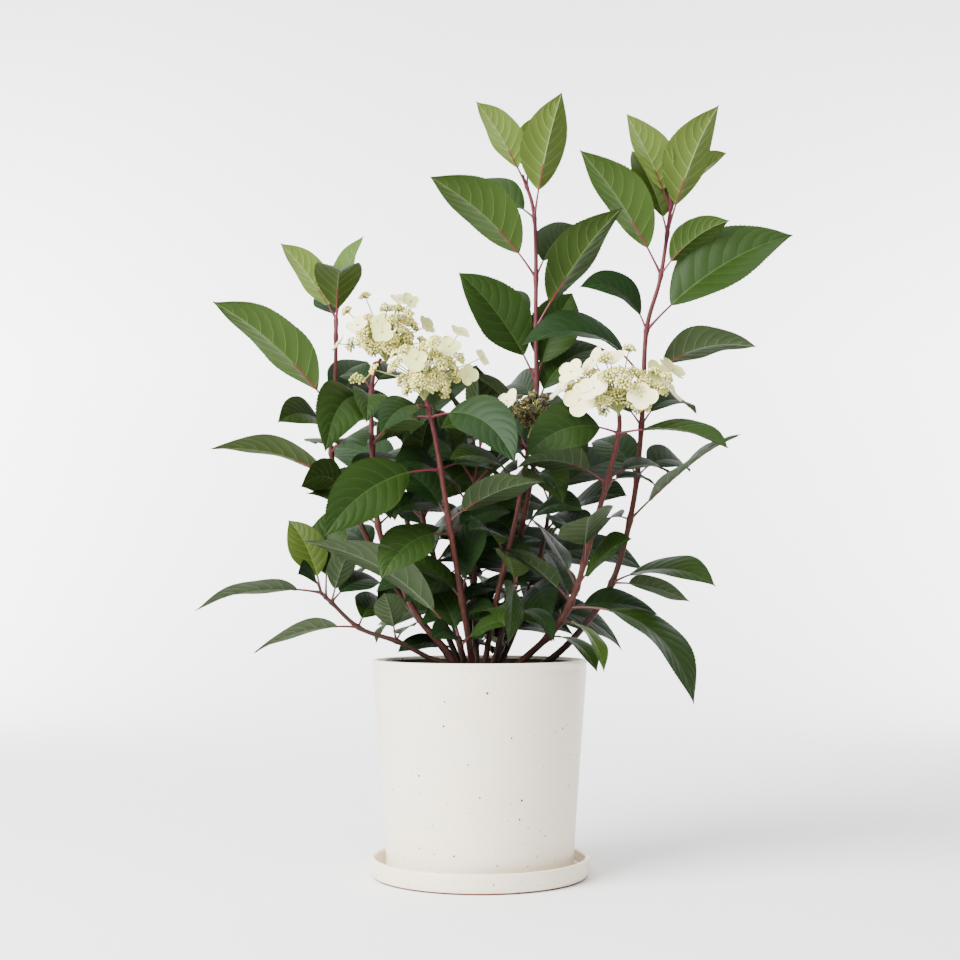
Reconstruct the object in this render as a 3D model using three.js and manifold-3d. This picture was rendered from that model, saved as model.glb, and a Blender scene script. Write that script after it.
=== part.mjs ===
// A hydrangea shrub in a glazed stoneware planter that stands in its saucer.
// Millimetres, +Z up, +X to the viewer's right, +Y away from the viewer.
// The origin is under the middle of the saucer, on the surface it stands on.
import * as THREE from "three";
import { mergeVertices } from "three/addons/utils/BufferGeometryUtils.js";
import Module from "manifold-3d";

const wasm = await Module();
wasm.setup();

// ---------------------------------------------------------------- pottery and soil
const GAP = 0.3; // between pieces that rest on or grow from each other
const ROUND_STEPS = 36; // facets round the pottery

const SAUCER = { radius: 121, foot: 117.5, height: 22, wall: 6, floor: 6, lip: 2.5 };
const POT = { rim: 120, waist: 111, foot: 102.5, height: 231, wall: 5.5, floor: 9, lip: 2.6 };
const POT_BASE = SAUCER.floor + GAP;
const POT_TOP = POT_BASE + POT.height;
const SOIL_DEPTH = 28; // soil surface below the rim
const SOIL_TOP = POT_TOP - SOIL_DEPTH;

// ---------------------------------------------------------------- woody parts
const CROWN = { radius: 31, height: 13, steps: 20 }; // the low woody foot that all canes rise from
const CANE_SIDES = 6;
const CANE_STEP = 36; // length of cane between two rings
const TWIG = { sides: 3, taper: 0.8 };
const PETIOLE = 1.4; // half thickness of a leaf stalk
const BELOW_FIRST_LEAF = 14; // a cane is bare up to here below its lowest leaf

// ---------------------------------------------------------------- leaves
const LEAF = {
  stalk: 0.19, // share of the reach from stem to tip that is stalk
  width: 0.54, // of the blade's length
  thick: 0.014, // of the blade's length, from the margins' fold to the keel under the midrib
  fold: 0.14, // rise of the margins over the midrib, of the half width
  widest: 0.42, // of the blade's length, from its base
  stations: [0.1, 0.34, 0.62, 0.86], // cross-sections along the blade
  uneven: { stalk: [0.8, 1.2], width: [0.92, 1.08] },
};
const CLEAR = 0.35; // least gap between a leaf and its neighbours
// A crowded leaf is swung aside by [heading, rise] degrees until it is clear, then tried again at
// each shorter share of its reach, and is left out where nothing helps.
const SHARES = [1, 0.8, 0.62];
const SWINGS = [
  [0, 0], [10, 0], [-10, 0], [0, 10], [0, -10], [18, 8], [-18, 8], [18, -9], [-18, -9],
  [28, 0], [-28, 0], [24, 16], [-24, 16], [36, -6], [-36, -6],
];

// ---------------------------------------------------------------- flower heads
const FLORET = { radius: 16, thick: 1.4, petals: 4, notch: 0.52, points: 3 }; // points to a petal
// The mass of small fertile flowers: its size as a share of the head, how lumpy it is, and how
// flat it is below.
const BUDS = { share: 0.84, lump: 0.7, waves: 7, phase: [2, 1], under: 0.55, detail: 2 };
// How the large florets stand on a head: their rise from the head's middle, how unevenly they are
// spaced and how far they face up; root is where their stalks start, as a share of the head.
const SPRAY = { rise: [-12, 58], uneven: 0.4, upward: 0.7, root: 0.5, stalk: 1.3 };
const HEAD_STEM = { radius: 2.2, from: 0.97 }; // from is a share of the shoot's own line

// ---------------------------------------------------------------- the shoots
// cane: the line from the foot to the tip. thick: radius at foot and tip.
// leaves: [height of the joint, heading from +X towards +Y, rise, reach from joint to tip,
//          arch, facing], two opposite leaves to a line. Arch is the midrib's bow in percent of
//          the reach; facing rolls the upper side towards the viewer, or away where negative.
// head: the flower head's centre, half width and half height, and its number of large florets.
const SHOOTS = [
  {
    name: "right_tall",
    cane: [[22, 4, 213], [48, 9, 220], [79, 10, 236], [114, 10, 270], [150, 10, 324], [174, 10, 413],
      [185, 12, 510], [191, 14, 610], [208, 14, 674], [221, 14, 758]],
    thick: [4.6, 2.2],
    leaves: [
      [322, -42, 0, 138, 22, 22], [322, -34, -12, 100, 12, -34],
      [393, -46, 31, 176, 6, 24], [393, 114, -12, 100, 30, 20],
      [442, 116, 29, 110, 20, 25], [442, 47, 8, 110, 30, 38],
      [500, 124, 29, 110, 20, 20], [500, 40, 14, 100, 45, 30],
      [553, -25, 13, 135, 25, -25], [553, 195, 14, 150, 45, 35],
      [611, 205, 28, 97, 45, 60], [611, -10, 33, 197, 14, 60],
      [676, 208, 51, 171, 8, -10], [676, -25, 35, 99, 18, -44],
      [724, -41, 64, 154, 6, -14], [724, 140, 66, 118, 10, 30],
      [754, 214, 57, 119, 6, -6], [754, 19, 45, 103, 8, -36],
      [757, 110, 62, 92, 5, -20],
    ],
  },
  {
    name: "middle_tall",
    cane: [[8, 6, 214], [19, 14, 241], [40, 24, 348], [54, 30, 417], [65, 34, 487], [65, 36, 616],
      [64, 36, 745], [50, 36, 800]],
    thick: [4.4, 2.0],
    leaves: [
      [309, 60, 16, 95, 25, 20], [309, 215, -5, 80, 30, 20],
      [368, -50, 18, 110, 40, 40], [368, 121, 22, 100, 20, 30],
      [441, -69, -20, 95, 40, 30], [441, 110, -10, 100, 30, 30],
      [488, 141, 43, 125, 10, -30], [488, 55, -12, 110, 30, -20],
      [527, 30, 38, 125, 30, 45], [527, 125, 12, 115, 20, 40],
      [553, 193, 54, 156, 12, 78], [553, 37, 64, 127, 10, 56],
      [618, -29, 51, 169, 6, -16], [618, 130, 28, 105, 20, 20],
      [677, 202, 39, 170, 14, -22], [677, 50, 46, 112, 15, 30],
      [748, -55, 69, 146, 8, -4], [748, 155, 27, 112, 15, 40],
      [785, 211, 54, 114, 6, -14], [785, 70, 74, 96, 5, 20],
    ],
  },
  {
    name: "left_tall",
    cane: [[-22, 5, 213], [-38, 4, 244], [-73, 4, 287], [-115, 6, 348], [-147, 8, 416],
      [-169, 8, 468], [-165, 6, 541], [-164, 0, 624]],
    thick: [4.4, 2.2],
    leaves: [
      [348, 126, 20, 110, 20, 20], [348, 20, 20, 90, 25, 30],
      [411, 236, 9, 92, 45, -70], [411, 66, -6, 110, 30, 20],
      [434, 194, 14, 154, 18, -12], [434, 30, 20, 95, 25, 25],
      [469, 107, 13, 100, 20, 20], [469, -60, 0, 90, 30, 20],
      [494, 244, 1, 105, 25, 52], [494, 60, 10, 95, 30, 30],
      [517, 201, 41, 182, 10, -22], [517, 68, 40, 112, 10, 30],
      [622, 198, 53, 105, 6, -28], [622, 20, 74, 104, 5, 20],
      [602, -82, 24, 128, 50, 0], [618, 105, 37, 85, 10, 30],
    ],
  },
  {
    name: "left_bloom",
    cane: [[-23, -5, 213], [-33, -11, 241], [-69, -18, 285], [-94, -22, 336], [-113, -26, 385],
      [-120, -30, 474], [-121, -22, 545], [-112, -14, 574]],
    thick: [4.2, 2.4],
    leaves: [
      [385, 190, 25, 88, 15, 25], [385, 51, 15, 105, 25, 30],
      [430, -75, -25, 100, 40, 30], [430, 100, 0, 95, 25, 30],
      [474, 140, 6, 110, 20, 30], [474, -55, 9, 108, 25, -30],
      [524, 247, -32, 122, 45, 46], [524, -71, -30, 84, 40, -14],
      [536, 140, 12, 100, 25, 35], [536, 60, 19, 95, 25, 30],
    ],
    head: { centre: [-106, -12, 593], wide: 46, high: 48, florets: 8, turn: 48 },
  },
  {
    name: "front_left",
    cane: [[-5, -23, 212], [-9, -29, 237], [-20, -44, 306], [-34, -58, 389], [-48, -70, 476],
      [-61, -78, 530]],
    thick: [4.3, 2.4],
    leaves: [
      [303, 67, 65, 118, 8, -20], [303, 160, 35, 90, 15, 20],
      [374, 225, -26, 112, 30, 40], [374, 60, 10, 95, 20, 30],
      [388, -28, 20, 120, 15, -22], [388, 136, 26, 110, 20, 30],
      [444, 214, -28, 160, 25, 66], [444, 46, -6, 105, 30, 30],
      [500, -42, -25, 132, 36, 46], [500, 130, -10, 100, 20, -30],
      [510, 55, -16, 100, 30, 30], [510, 236, -32, 90, 30, 30],
    ],
    head: { centre: [-60, -78, 542], wide: 47, high: 52, florets: 8, turn: -35 },
  },
  {
    name: "right_bloom",
    cane: [[20, -10, 212], [47, -15, 236], [84, -22, 272], [105, -30, 312], [119, -36, 361],
      [140, -46, 433], [152, -52, 484], [153, -54, 506]],
    thick: [4.3, 2.5],
    leaves: [
      [262, -52, -23, 88, 30, -8], [262, 130, 27, 90, 20, 20],
      [280, -54, -35, 92, 35, -20], [280, 95, 20, 95, 25, 25],
      [294, -27, -34, 178, 40, 8], [294, 44, -3, 108, 15, 36],
      [300, 221, 29, 128, 12, 4], [300, 108, 40, 90, 8, -22],
      [316, -60, 28, 112, 12, 60], [316, 120, 43, 116, 8, -28],
      [343, -81, 18, 148, 20, -26], [361, 110, 27, 100, 15, 20],
      [430, 211, 7, 120, 25, -26], [430, 20, 0, 70, 30, 20],
      [485, -38, -9, 137, 15, 16], [485, 210, -14, 122, 30, 62],
      [434, 51, -3, 100, 30, 20], [361, 232, 20, 85, 15, 30],
    ],
    head: { centre: [152, -54, 527], wide: 64, high: 43, florets: 10, turn: 70 },
  },
  {
    name: "seed_head",
    cane: [[3, -9, 214], [10, -10, 260], [22, -16, 320], [38, -28, 385], [50, -42, 450], [55, -50, 486]],
    thick: [3.8, 2.0],
    leaves: [
      [286, 105, 30, 100, 20, 30], [286, -77, -10, 88, 40, 20],
      [348, 246, 17, 100, 30, 30], [348, 58, 21, 105, 25, 20],
      [426, 225, 13, 112, 30, 35], [426, -68, 4, 100, 30, -30],
      [466, 215, 20, 116, 30, 40], [466, 130, 38, 100, 20, 30],
    ],
    head: { centre: [57, -54, 504], wide: 27, high: 31, florets: 1, turn: 205 },
  },
  {
    name: "low_left",
    cane: [[-18, -15, 212], [-30, -24, 230], [-57, -27, 240], [-90, -30, 257], [-132, -34, 272],
      [-163, -36, 300], [-176, -36, 312]],
    thick: [3.4, 2.0],
    leaves: [
      [258, 262, 38, 86, 15, -20], [258, 76, 12, 75, 15, -20],
      [273, 208, -12, 125, 16, -22], [273, 75, 21, 90, 20, 30],
      [300, -45, 61, 76, 10, -20], [300, 55, 16, 90, 25, 30],
      [311, 204, -6, 142, 14, -16], [311, 258, 16, 74, 25, 60],
      [311, 156, 63, 92, 14, 50], [306, 92, 65, 112, 12, 12],
    ],
  },
  {
    name: "front_basal",
    cane: [[-13, -23, 212], [-18, -37, 234], [-21, -45, 252], [-23, -50, 264]],
    thick: [3.2, 2.4],
    leaves: [
      [252, 200, 33, 211, 22, -12], [252, -43, 22, 74, 25, 40],
      [260, 243, 3, 62, 25, 48], [260, 100, 50, 96, 12, 20],
    ],
  },
  {
    name: "front_low",
    cane: [[7, -21, 212], [16, -28, 240], [30, -36, 284], [40, -42, 322]],
    thick: [3.0, 1.8],
    leaves: [
      [284, 190, 15, 70, 30, 20], [284, -60, -17, 80, 45, 2],
      [318, 265, -48, 100, 45, 62], [318, -62, 26, 92, 20, 30],
      [320, 90, 48, 95, 10, 30],
    ],
  },
  { name: "centre_left", cane: [[-12, 7, 215], [-34, 18, 290], [-64, 34, 390], [-84, 48, 472]] },
  { name: "centre", cane: [[-3, 3, 216], [-6, 10, 300], [-8, 20, 400], [-2, 34, 474]] },
  { name: "back_left", cane: [[-15, 16, 213], [-48, 56, 288], [-86, 104, 392], [-100, 132, 474]] },
  { name: "back_middle", cane: [[-2, 22, 213], [-8, 70, 296], [-8, 124, 400], [0, 152, 482]] },
  { name: "back_right", cane: [[15, 17, 213], [46, 56, 282], [76, 100, 372], [88, 124, 456]] },
  { name: "back_low", cane: [[7, 21, 213], [26, 66, 246], [38, 118, 286], [42, 160, 340]] },
];
// The inner and back shoots, which the ones above hide from the front.
const HIDDEN = {
  thick: [4, 2.1],
  first: 284, // height near which the lowest pair stands
  pairs: 6,
  reach: [104, 146],
  rise: [-10, 50], // of the lowest and the highest pair
  facing: 38,
  longest: [0.25, 0.85], // the stretch of a half wave that sets how reach changes up the shoot
  top: 3, // the last pair's distance below the tip
  heading: { start: 35, shoot: 25, pair: 90, uneven: 16 }, // degrees
  uneven: { rise: 8, reach: [0.9, 1.08] },
  arch: [12, 34],
};

// ---------------------------------------------------------------- small helpers
const vec = (p) => new THREE.Vector3(...p);
const radians = THREE.MathUtils.degToRad;
const mix = THREE.MathUtils.lerp;
const UP = new THREE.Vector3(0, 0, 1);
const BACKWARD = new THREE.Vector3(0, 1, 0);
const STEEP = 0.9; // a direction with more rise than this counts as upright

// A fixed fraction of 0 to 1 for each key, so that the plant always grows the same way.
const SHOOT_KEYS = 100; // each shoot's leaves take their keys from a hundred of its own
function fraction(key) {
  const s = Math.sin(key * 12.9898 + 78.233) * 43758.5453;
  return s - Math.floor(s);
}

function solidOf(geometry) {
  const bare = geometry.clone();
  bare.deleteAttribute("normal");
  bare.deleteAttribute("uv");
  const merged = mergeVertices(bare, 1e-4);
  return new wasm.Manifold(
    new wasm.Mesh({
      numProp: 3,
      vertProperties: new Float32Array(merged.attributes.position.array),
      triVerts: new Uint32Array(merged.index.array),
    }),
  );
}

function geometryOf(solid) {
  const mesh = solid.getMesh();
  const geometry = new THREE.BufferGeometry();
  geometry.setAttribute("position", new THREE.BufferAttribute(mesh.vertProperties, 3));
  geometry.setIndex(new THREE.BufferAttribute(mesh.triVerts, 1));
  geometry.computeVertexNormals();
  return geometry;
}

// One solid of many: loose scraps are dropped and hollows sealed by the joining are filled.
function fuse(solids) {
  const bodies = wasm.Manifold.union(solids).decompose();
  return bodies.reduce((best, body) => (body.volume() > best.volume() ? body : best));
}

// A closed skin over rings of equal count; a ring of one point closes its end to a tip.
function loft(rings) {
  const points = rings.flat();
  const starts = rings.map((_, r) => rings.slice(0, r).flat().length);
  const faces = [];
  for (let r = 0; r + 1 < rings.length; r++) {
    const count = Math.max(rings[r].length, rings[r + 1].length);
    const at = (ring, k) => starts[ring] + (rings[ring].length === 1 ? 0 : k % count);
    for (let k = 0; k < count; k++) {
      if (rings[r].length > 1) faces.push(at(r, k), at(r, k + 1), at(r + 1, k));
      if (rings[r + 1].length > 1) faces.push(at(r, k + 1), at(r + 1, k + 1), at(r + 1, k));
    }
  }
  const last = rings.length - 1;
  for (let k = 1; k + 1 < rings[0].length; k++) faces.push(0, k + 1, k);
  for (let k = 1; k + 1 < rings[last].length; k++) {
    faces.push(starts[last], starts[last] + k, starts[last] + k + 1);
  }
  const geometry = new THREE.BufferGeometry().setFromPoints(points);
  geometry.setIndex(faces);
  return geometry;
}

function turned(profile, steps = ROUND_STEPS) {
  const points = profile.map(([r, z]) => new THREE.Vector2(r, z));
  return new THREE.LatheGeometry(points, steps).rotateX(Math.PI / 2);
}

// A quarter or half circle of profile points round (r, z), from one angle to another.
function arc(r, z, radius, from, to, steps) {
  return Array.from({ length: steps + 1 }, (_, i) => {
    const angle = radians(mix(from, to, i / steps));
    return [r + radius * Math.cos(angle), z + radius * Math.sin(angle)];
  });
}

// ---------------------------------------------------------------- pottery and soil shapes
// The pot's outer radius swells gently from foot to rim: a parabola through three radii.
function potRadius(z) {
  const t = (z - POT_BASE) / POT.height;
  const bend = 2 * (POT.foot + POT.rim) - 4 * POT.waist;
  return POT.foot + (POT.rim - POT.foot - bend) * t + bend * t * t;
}

function saucerGeometry() {
  const { radius, foot, height, wall, floor, lip } = SAUCER;
  return turned([
    [0, 0],
    [foot, 0],
    [radius - 1, 4],
    [radius, 10],
    ...arc(radius - lip, height - lip, lip, 0, 180, 3),
    [radius - wall, floor + 4],
    [radius - wall - 4, floor],
    [0, floor],
  ]);
}

function planterGeometry() {
  const levels = [0.2, 0.5, 0.78];
  const outside = levels.map((t) => [potRadius(mix(POT_BASE, POT_TOP, t)), mix(POT_BASE, POT_TOP, t)]);
  const inside = outside.map(([r, z]) => [r - POT.wall, z]).reverse();
  const floor = POT_BASE + POT.floor;
  return turned([
    [0, POT_BASE],
    [POT.foot - 4, POT_BASE],
    [POT.foot, POT_BASE + 4],
    ...outside,
    ...arc(POT.rim - POT.lip, POT_TOP - POT.lip, POT.lip, 0, 180, 3),
    ...inside,
    [potRadius(floor) - POT.wall, floor],
    [0, floor],
  ]);
}

function soilGeometry() {
  const floor = POT_BASE + POT.floor + GAP;
  const edge = (z) => potRadius(z) - POT.wall - 2 * GAP;
  const middle = mix(floor, SOIL_TOP, 0.5);
  return turned([
    [0, floor],
    [edge(floor), floor],
    [edge(middle), middle],
    [edge(SOIL_TOP), SOIL_TOP - 3],
    [edge(SOIL_TOP) - 8, SOIL_TOP],
    [0, SOIL_TOP],
  ]);
}

// The woody foot: a low dome on the soil.
function crownGeometry() {
  const base = SOIL_TOP + GAP;
  const dome = [30, 60].map((angle) => [
    CROWN.radius * Math.cos(radians(angle)),
    base + CROWN.height * Math.sin(radians(angle)),
  ]);
  return turned([[0, base], [CROWN.radius, base], ...dome, [0, base + CROWN.height]], CROWN.steps);
}

// ---------------------------------------------------------------- limbs
// The smooth line of a shoot, with the place on it at a given height, and the one just past a place.
function lineOf(shoot) {
  const curve = new THREE.CatmullRomCurve3(shoot.cane.map(vec), false, "catmullrom", 0.5);
  const place = (height) => {
    let low = 0;
    let high = 1;
    while (high - low > 1e-6) {
      const middle = (low + high) / 2;
      if (curve.getPoint(middle).z < height) low = middle;
      else high = middle;
    }
    return low;
  };
  const past = (t, distance) => {
    const step = 1e-3;
    return t + (distance * step) / curve.getPoint(t).distanceTo(curve.getPoint(t + step));
  };
  return { curve, place, past };
}

// A ring of points round a limb's axis; hint is any direction that the axis doesn't take.
function ringRound(centre, along, hint, radius, sides) {
  const across = new THREE.Vector3().crossVectors(hint, along).normalize();
  const other = new THREE.Vector3().crossVectors(along, across);
  return Array.from({ length: sides }, (_, k) => {
    const angle = (2 * Math.PI * k) / sides;
    return centre
      .clone()
      .addScaledVector(across, radius * Math.cos(angle))
      .addScaledVector(other, radius * Math.sin(angle));
  });
}

// A stretch of a shoot's line as one limb that tapers from the foot's to the tip's thickness.
function limb(line, from, to, thick) {
  const count = Math.max(1, Math.round((line.curve.getLength() * (to - from)) / CANE_STEP));
  const rings = [];
  for (let i = 0; i <= count; i++) {
    const t = mix(from, to, i / count);
    const radius = mix(thick[0], thick[1], t);
    rings.push(ringRound(line.curve.getPoint(t), line.curve.getTangent(t), BACKWARD, radius, CANE_SIDES));
  }
  return solidOf(loft(rings));
}

// A straight twig that tapers from one point to another.
function twig(from, to, thick) {
  const along = to.clone().sub(from).normalize();
  const hint = Math.abs(along.z) > STEEP ? BACKWARD : UP;
  const ring = (centre, radius) => ringRound(centre, along, hint, radius, TWIG.sides);
  return solidOf(loft([ring(from, thick), ring(to, thick * TWIG.taper)]));
}

// ---------------------------------------------------------------- leaves
// Half width of a blade at t from base to tip, as a share of its greatest: ovate, with a long tip.
function outline(t) {
  if (t < LEAF.widest) return Math.sin((Math.PI / 2) * (t / LEAF.widest)) ** 0.8;
  const s = (t - LEAF.widest) / (1 - LEAF.widest);
  return (1 - s) ** 0.62 * (1 - 0.18 * s) * Math.cos(0.42 * s);
}

// The rings of one leaf from its root in the stem to its tip: stalk, then a blade with two
// margins and a keel under the midrib.
function leafRings(root, heading, rise, reach, arch, facing, key) {
  const flat = new THREE.Vector3(Math.cos(radians(heading)), Math.sin(radians(heading)), 0);
  const aim = flat.clone().multiplyScalar(Math.cos(radians(rise)));
  aim.addScaledVector(UP, Math.sin(radians(rise)));
  const lift = new THREE.Vector3().crossVectors(aim, new THREE.Vector3().crossVectors(UP, aim)).normalize();
  const tip = root.clone().addScaledVector(aim, reach);
  const knee = root.clone().lerp(tip, 0.5).addScaledVector(lift, (reach * arch) / 100);
  const midrib = new THREE.QuadraticBezierCurve3(root, knee, tip);
  const stalk = LEAF.stalk * mix(...LEAF.uneven.stalk, fraction(key));
  const blade = reach * (1 - stalk);
  const half = (blade * LEAF.width * mix(...LEAF.uneven.width, fraction(key + 0.5))) / 2;
  const ring = (t, width, height, fold) => {
    const along = midrib.getTangent(t);
    const side = new THREE.Vector3().crossVectors(along, lift).normalize();
    const sense = side.y < 0 ? 1 : -1;
    const roll = radians(facing) * sense * Math.min(1, t / stalk);
    const up = new THREE.Vector3().crossVectors(side, along);
    const across = side.clone().multiplyScalar(Math.cos(roll)).addScaledVector(up, -Math.sin(roll));
    const normal = up.clone().multiplyScalar(Math.cos(roll)).addScaledVector(side, Math.sin(roll));
    const centre = midrib.getPoint(t);
    const at = (w, h) => centre.clone().addScaledVector(across, w).addScaledVector(normal, h);
    return [at(-width, fold * width), at(width, fold * width), at(0, -height)];
  };
  const rings = [ring(0, PETIOLE, PETIOLE, 1), ring(stalk, PETIOLE, PETIOLE, 1)];
  for (const s of LEAF.stations) {
    rings.push(ring(mix(stalk, 1, s), half * outline(s), blade * LEAF.thick, LEAF.fold));
  }
  rings.push([tip]);
  return rings;
}

// ---------------------------------------------------------------- flower heads
function onHead(head, direction, share) {
  return vec(head.centre).add(
    new THREE.Vector3(direction.x * head.wide, direction.y * head.wide, direction.z * head.high)
      .multiplyScalar(share),
  );
}

// The packed small flowers of a head: a dome, flatter below, that is lumpy in a fixed way.
function budMass(head) {
  const geometry = new THREE.IcosahedronGeometry(1, BUDS.detail);
  const position = geometry.attributes.position;
  for (let i = 0; i < position.count; i++) {
    const p = new THREE.Vector3().fromBufferAttribute(position, i);
    const phases = [head.turn, ...BUDS.phase];
    const bump = p.toArray().reduce((all, x, k) => all * Math.sin(BUDS.waves * x + phases[k]), 1);
    const drop = p.z < 0 ? BUDS.under : 1;
    p.multiplyScalar(BUDS.share * (1 + BUDS.lump * bump));
    position.setXYZ(i, p.x * head.wide, p.y * head.wide, p.z * head.high * drop);
  }
  return solidOf(geometry.translate(...head.centre));
}

// A large sterile floret: four rounded petals as one thin lens.
function floret(centre, facing) {
  const side = new THREE.Vector3().crossVectors(facing, BACKWARD).normalize();
  const other = new THREE.Vector3().crossVectors(facing, side);
  const points = FLORET.points * FLORET.petals;
  const rim = Array.from({ length: points }, (_, k) => {
    const angle = (2 * Math.PI * k) / points;
    const radius = FLORET.radius * (k % FLORET.points === 0 ? FLORET.notch : 1);
    return centre
      .clone()
      .addScaledVector(side, radius * Math.cos(angle))
      .addScaledVector(other, radius * Math.sin(angle));
  });
  const peak = (sign) => [centre.clone().addScaledVector(facing, (sign * FLORET.thick) / 2)];
  return solidOf(loft([peak(-1), rim, peak(1)]));
}

// The head of a shoot: the mass of small flowers with large florets standing out of it.
function headSolids(head, line) {
  const middle = vec(head.centre);
  const stem = twig(line.curve.getPoint(HEAD_STEM.from), middle, HEAD_STEM.radius);
  const solids = [budMass(head), stem];
  for (let i = 0; i < head.florets; i++) {
    const place = i + SPRAY.uneven * fraction(i * 3 + head.turn);
    const angle = radians(head.turn + (360 / head.florets) * place);
    const rise = radians(mix(...SPRAY.rise, fraction(i * 7 + 1 + head.turn)));
    const out = new THREE.Vector3(
      Math.cos(rise) * Math.cos(angle), Math.cos(rise) * Math.sin(angle), Math.sin(rise),
    );
    const at = onHead(head, out, 1);
    const facing = out.clone().addScaledVector(UP, SPRAY.upward).normalize();
    solids.push(twig(onHead(head, out, SPRAY.root), at, SPRAY.stalk), floret(at, facing));
  }
  return solids;
}

// ---------------------------------------------------------------- growing the plant
// The inner and back shoots carry opposite pairs, each turned a quarter from the last, with the
// longest leaves in the middle.
function pairsUp(shoot, index) {
  const { heading: turn, uneven } = HIDDEN;
  const top = shoot.cane.at(-1)[2];
  const first = mix(HIDDEN.first, shoot.cane[1][2], 0.5);
  const leaves = [];
  for (let i = 0; i < HIDDEN.pairs; i++) {
    const t = i / (HIDDEN.pairs - 1);
    const height = mix(first, top - HIDDEN.top, t);
    const rise = mix(...HIDDEN.rise, t * t);
    const reach = mix(...HIDDEN.reach, Math.sin(Math.PI * mix(...HIDDEN.longest, t)));
    for (const side of [0, 1]) {
      const key = index * SHOOT_KEYS + i * 2 + side;
      const heading = turn.start + index * turn.shoot + i * turn.pair + side * 180;
      leaves.push([
        height,
        heading + mix(-turn.uneven, turn.uneven, fraction(key)),
        rise + mix(-uneven.rise, uneven.rise, fraction(key + 0.3)),
        reach * mix(...uneven.reach, fraction(key + 0.6)),
        mix(...HIDDEN.arch, fraction(key + 0.8)),
        HIDDEN.facing,
      ]);
    }
  }
  return leaves;
}

const boxesMeet = (a, b) =>
  [0, 1, 2].every((k) => a.min[k] - CLEAR < b.max[k] && b.min[k] - CLEAR < a.max[k]);

// Everything that a new leaf keeps clear of, with the shoot that it belongs to.
const neighbours = [];
function occupy(owner, solid) {
  neighbours.push({ owner, solid, box: solid.boundingBox() });
}

// A whole leaf keeps clear of other shoots; its blade keeps clear of its own shoot too.
function isClear(owner, leaf, blade) {
  const box = leaf.boundingBox();
  return neighbours.every((other) => {
    if (!boxesMeet(box, other.box)) return true;
    return (other.owner === owner ? blade : leaf).minGap(other.solid, 2 * CLEAR) > CLEAR;
  });
}

function growLeaf(shoot, row, key) {
  const [height, heading, rise, reach, arch, facing] = row;
  const root = shoot.line.curve.getPoint(shoot.line.place(height));
  for (const share of SHARES) {
    for (const [swing, tilt] of SWINGS) {
      const rings = leafRings(root, heading + swing, rise + tilt, reach * share, arch, facing, key);
      const leaf = solidOf(loft(rings));
      if (isClear(shoot.name, leaf, solidOf(loft(rings.slice(1))))) {
        occupy(shoot.name, leaf);
        return leaf;
      }
    }
  }
  return null;
}

// ---------------------------------------------------------------- assembly
const MATERIALS = {
  stoneware: new THREE.MeshStandardMaterial({ color: 0xe9e5de, roughness: 0.42, metalness: 0 }),
  soil: new THREE.MeshStandardMaterial({ color: 0x2e241c, roughness: 0.95, metalness: 0 }),
  bark: new THREE.MeshStandardMaterial({ color: 0x6b3a34, roughness: 0.7, metalness: 0 }),
  foliage: new THREE.MeshStandardMaterial({ color: 0x3c6b33, roughness: 0.55, metalness: 0 }),
};

const part = new THREE.Group();
function add(name, geometry, material) {
  const mesh = new THREE.Mesh(geometry, material);
  mesh.name = name;
  part.add(mesh);
}

const pottery = {
  saucer: [saucerGeometry(), MATERIALS.stoneware],
  planter: [planterGeometry(), MATERIALS.stoneware],
  soil: [soilGeometry(), MATERIALS.soil],
  woody_foot: [crownGeometry(), MATERIALS.bark],
};
for (const [name, [geometry, material]] of Object.entries(pottery)) {
  add(name, geometry, material);
  occupy(name, solidOf(geometry));
}

// The room that the foot takes from the canes rising out of it.
const footRoom = solidOf(crownGeometry().translate(0, 0, -SOIL_TOP).scale(1.02, 1.02, 1.05))
  .translate([0, 0, SOIL_TOP]);

// First every cane, stem and flower head, then the leaves in the room that is left.
SHOOTS.forEach((shoot, index) => {
  const thick = shoot.thick ?? HIDDEN.thick;
  shoot.leaves ??= pairsUp(shoot, index);
  shoot.line = lineOf(shoot);
  const lowest = Math.min(...shoot.leaves.map((row) => row[0]));
  const end = shoot.line.place(lowest - BELOW_FIRST_LEAF);
  const start = shoot.line.past(end, GAP);
  const cane = fuse([limb(shoot.line, 0, end, thick).subtract(footRoom)]);
  add("cane_" + shoot.name, geometryOf(cane), MATERIALS.bark);
  shoot.solids = [limb(shoot.line, start, 1, thick)];
  if (shoot.head) shoot.solids.push(...headSolids(shoot.head, shoot.line));
  for (const solid of [cane, ...shoot.solids]) occupy(shoot.name, solid);
});

SHOOTS.forEach((shoot, index) => {
  shoot.leaves.forEach((row, number) => {
    const leaf = growLeaf(shoot, row, index * SHOOT_KEYS + number);
    if (leaf) shoot.solids.push(leaf);
  });
  add("leaves_" + shoot.name, geometryOf(fuse(shoot.solids)), MATERIALS.foliage);
});

export default part;
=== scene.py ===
import math

import bmesh
import bpy
import numpy as np
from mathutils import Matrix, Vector, kdtree


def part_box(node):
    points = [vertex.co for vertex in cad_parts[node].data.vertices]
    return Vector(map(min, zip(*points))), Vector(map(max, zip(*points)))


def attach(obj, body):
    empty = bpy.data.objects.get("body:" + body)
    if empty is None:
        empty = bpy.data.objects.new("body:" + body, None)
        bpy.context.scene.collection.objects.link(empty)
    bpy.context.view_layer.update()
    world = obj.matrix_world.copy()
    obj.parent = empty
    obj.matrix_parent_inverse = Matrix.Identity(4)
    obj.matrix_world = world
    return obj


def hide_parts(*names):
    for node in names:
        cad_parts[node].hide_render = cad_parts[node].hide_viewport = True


bl_info = {
    "name": "Potted Hydrangea",
    "version": (1, 0, 0),
    "blender": (4, 5, 0),
    "location": "3D Viewport > Sidebar > Hydrangea",
    "description": "Grows a hydrangea shrub in its stoneware planter round a packed CAD frame",
    "category": "Object",
}

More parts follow.
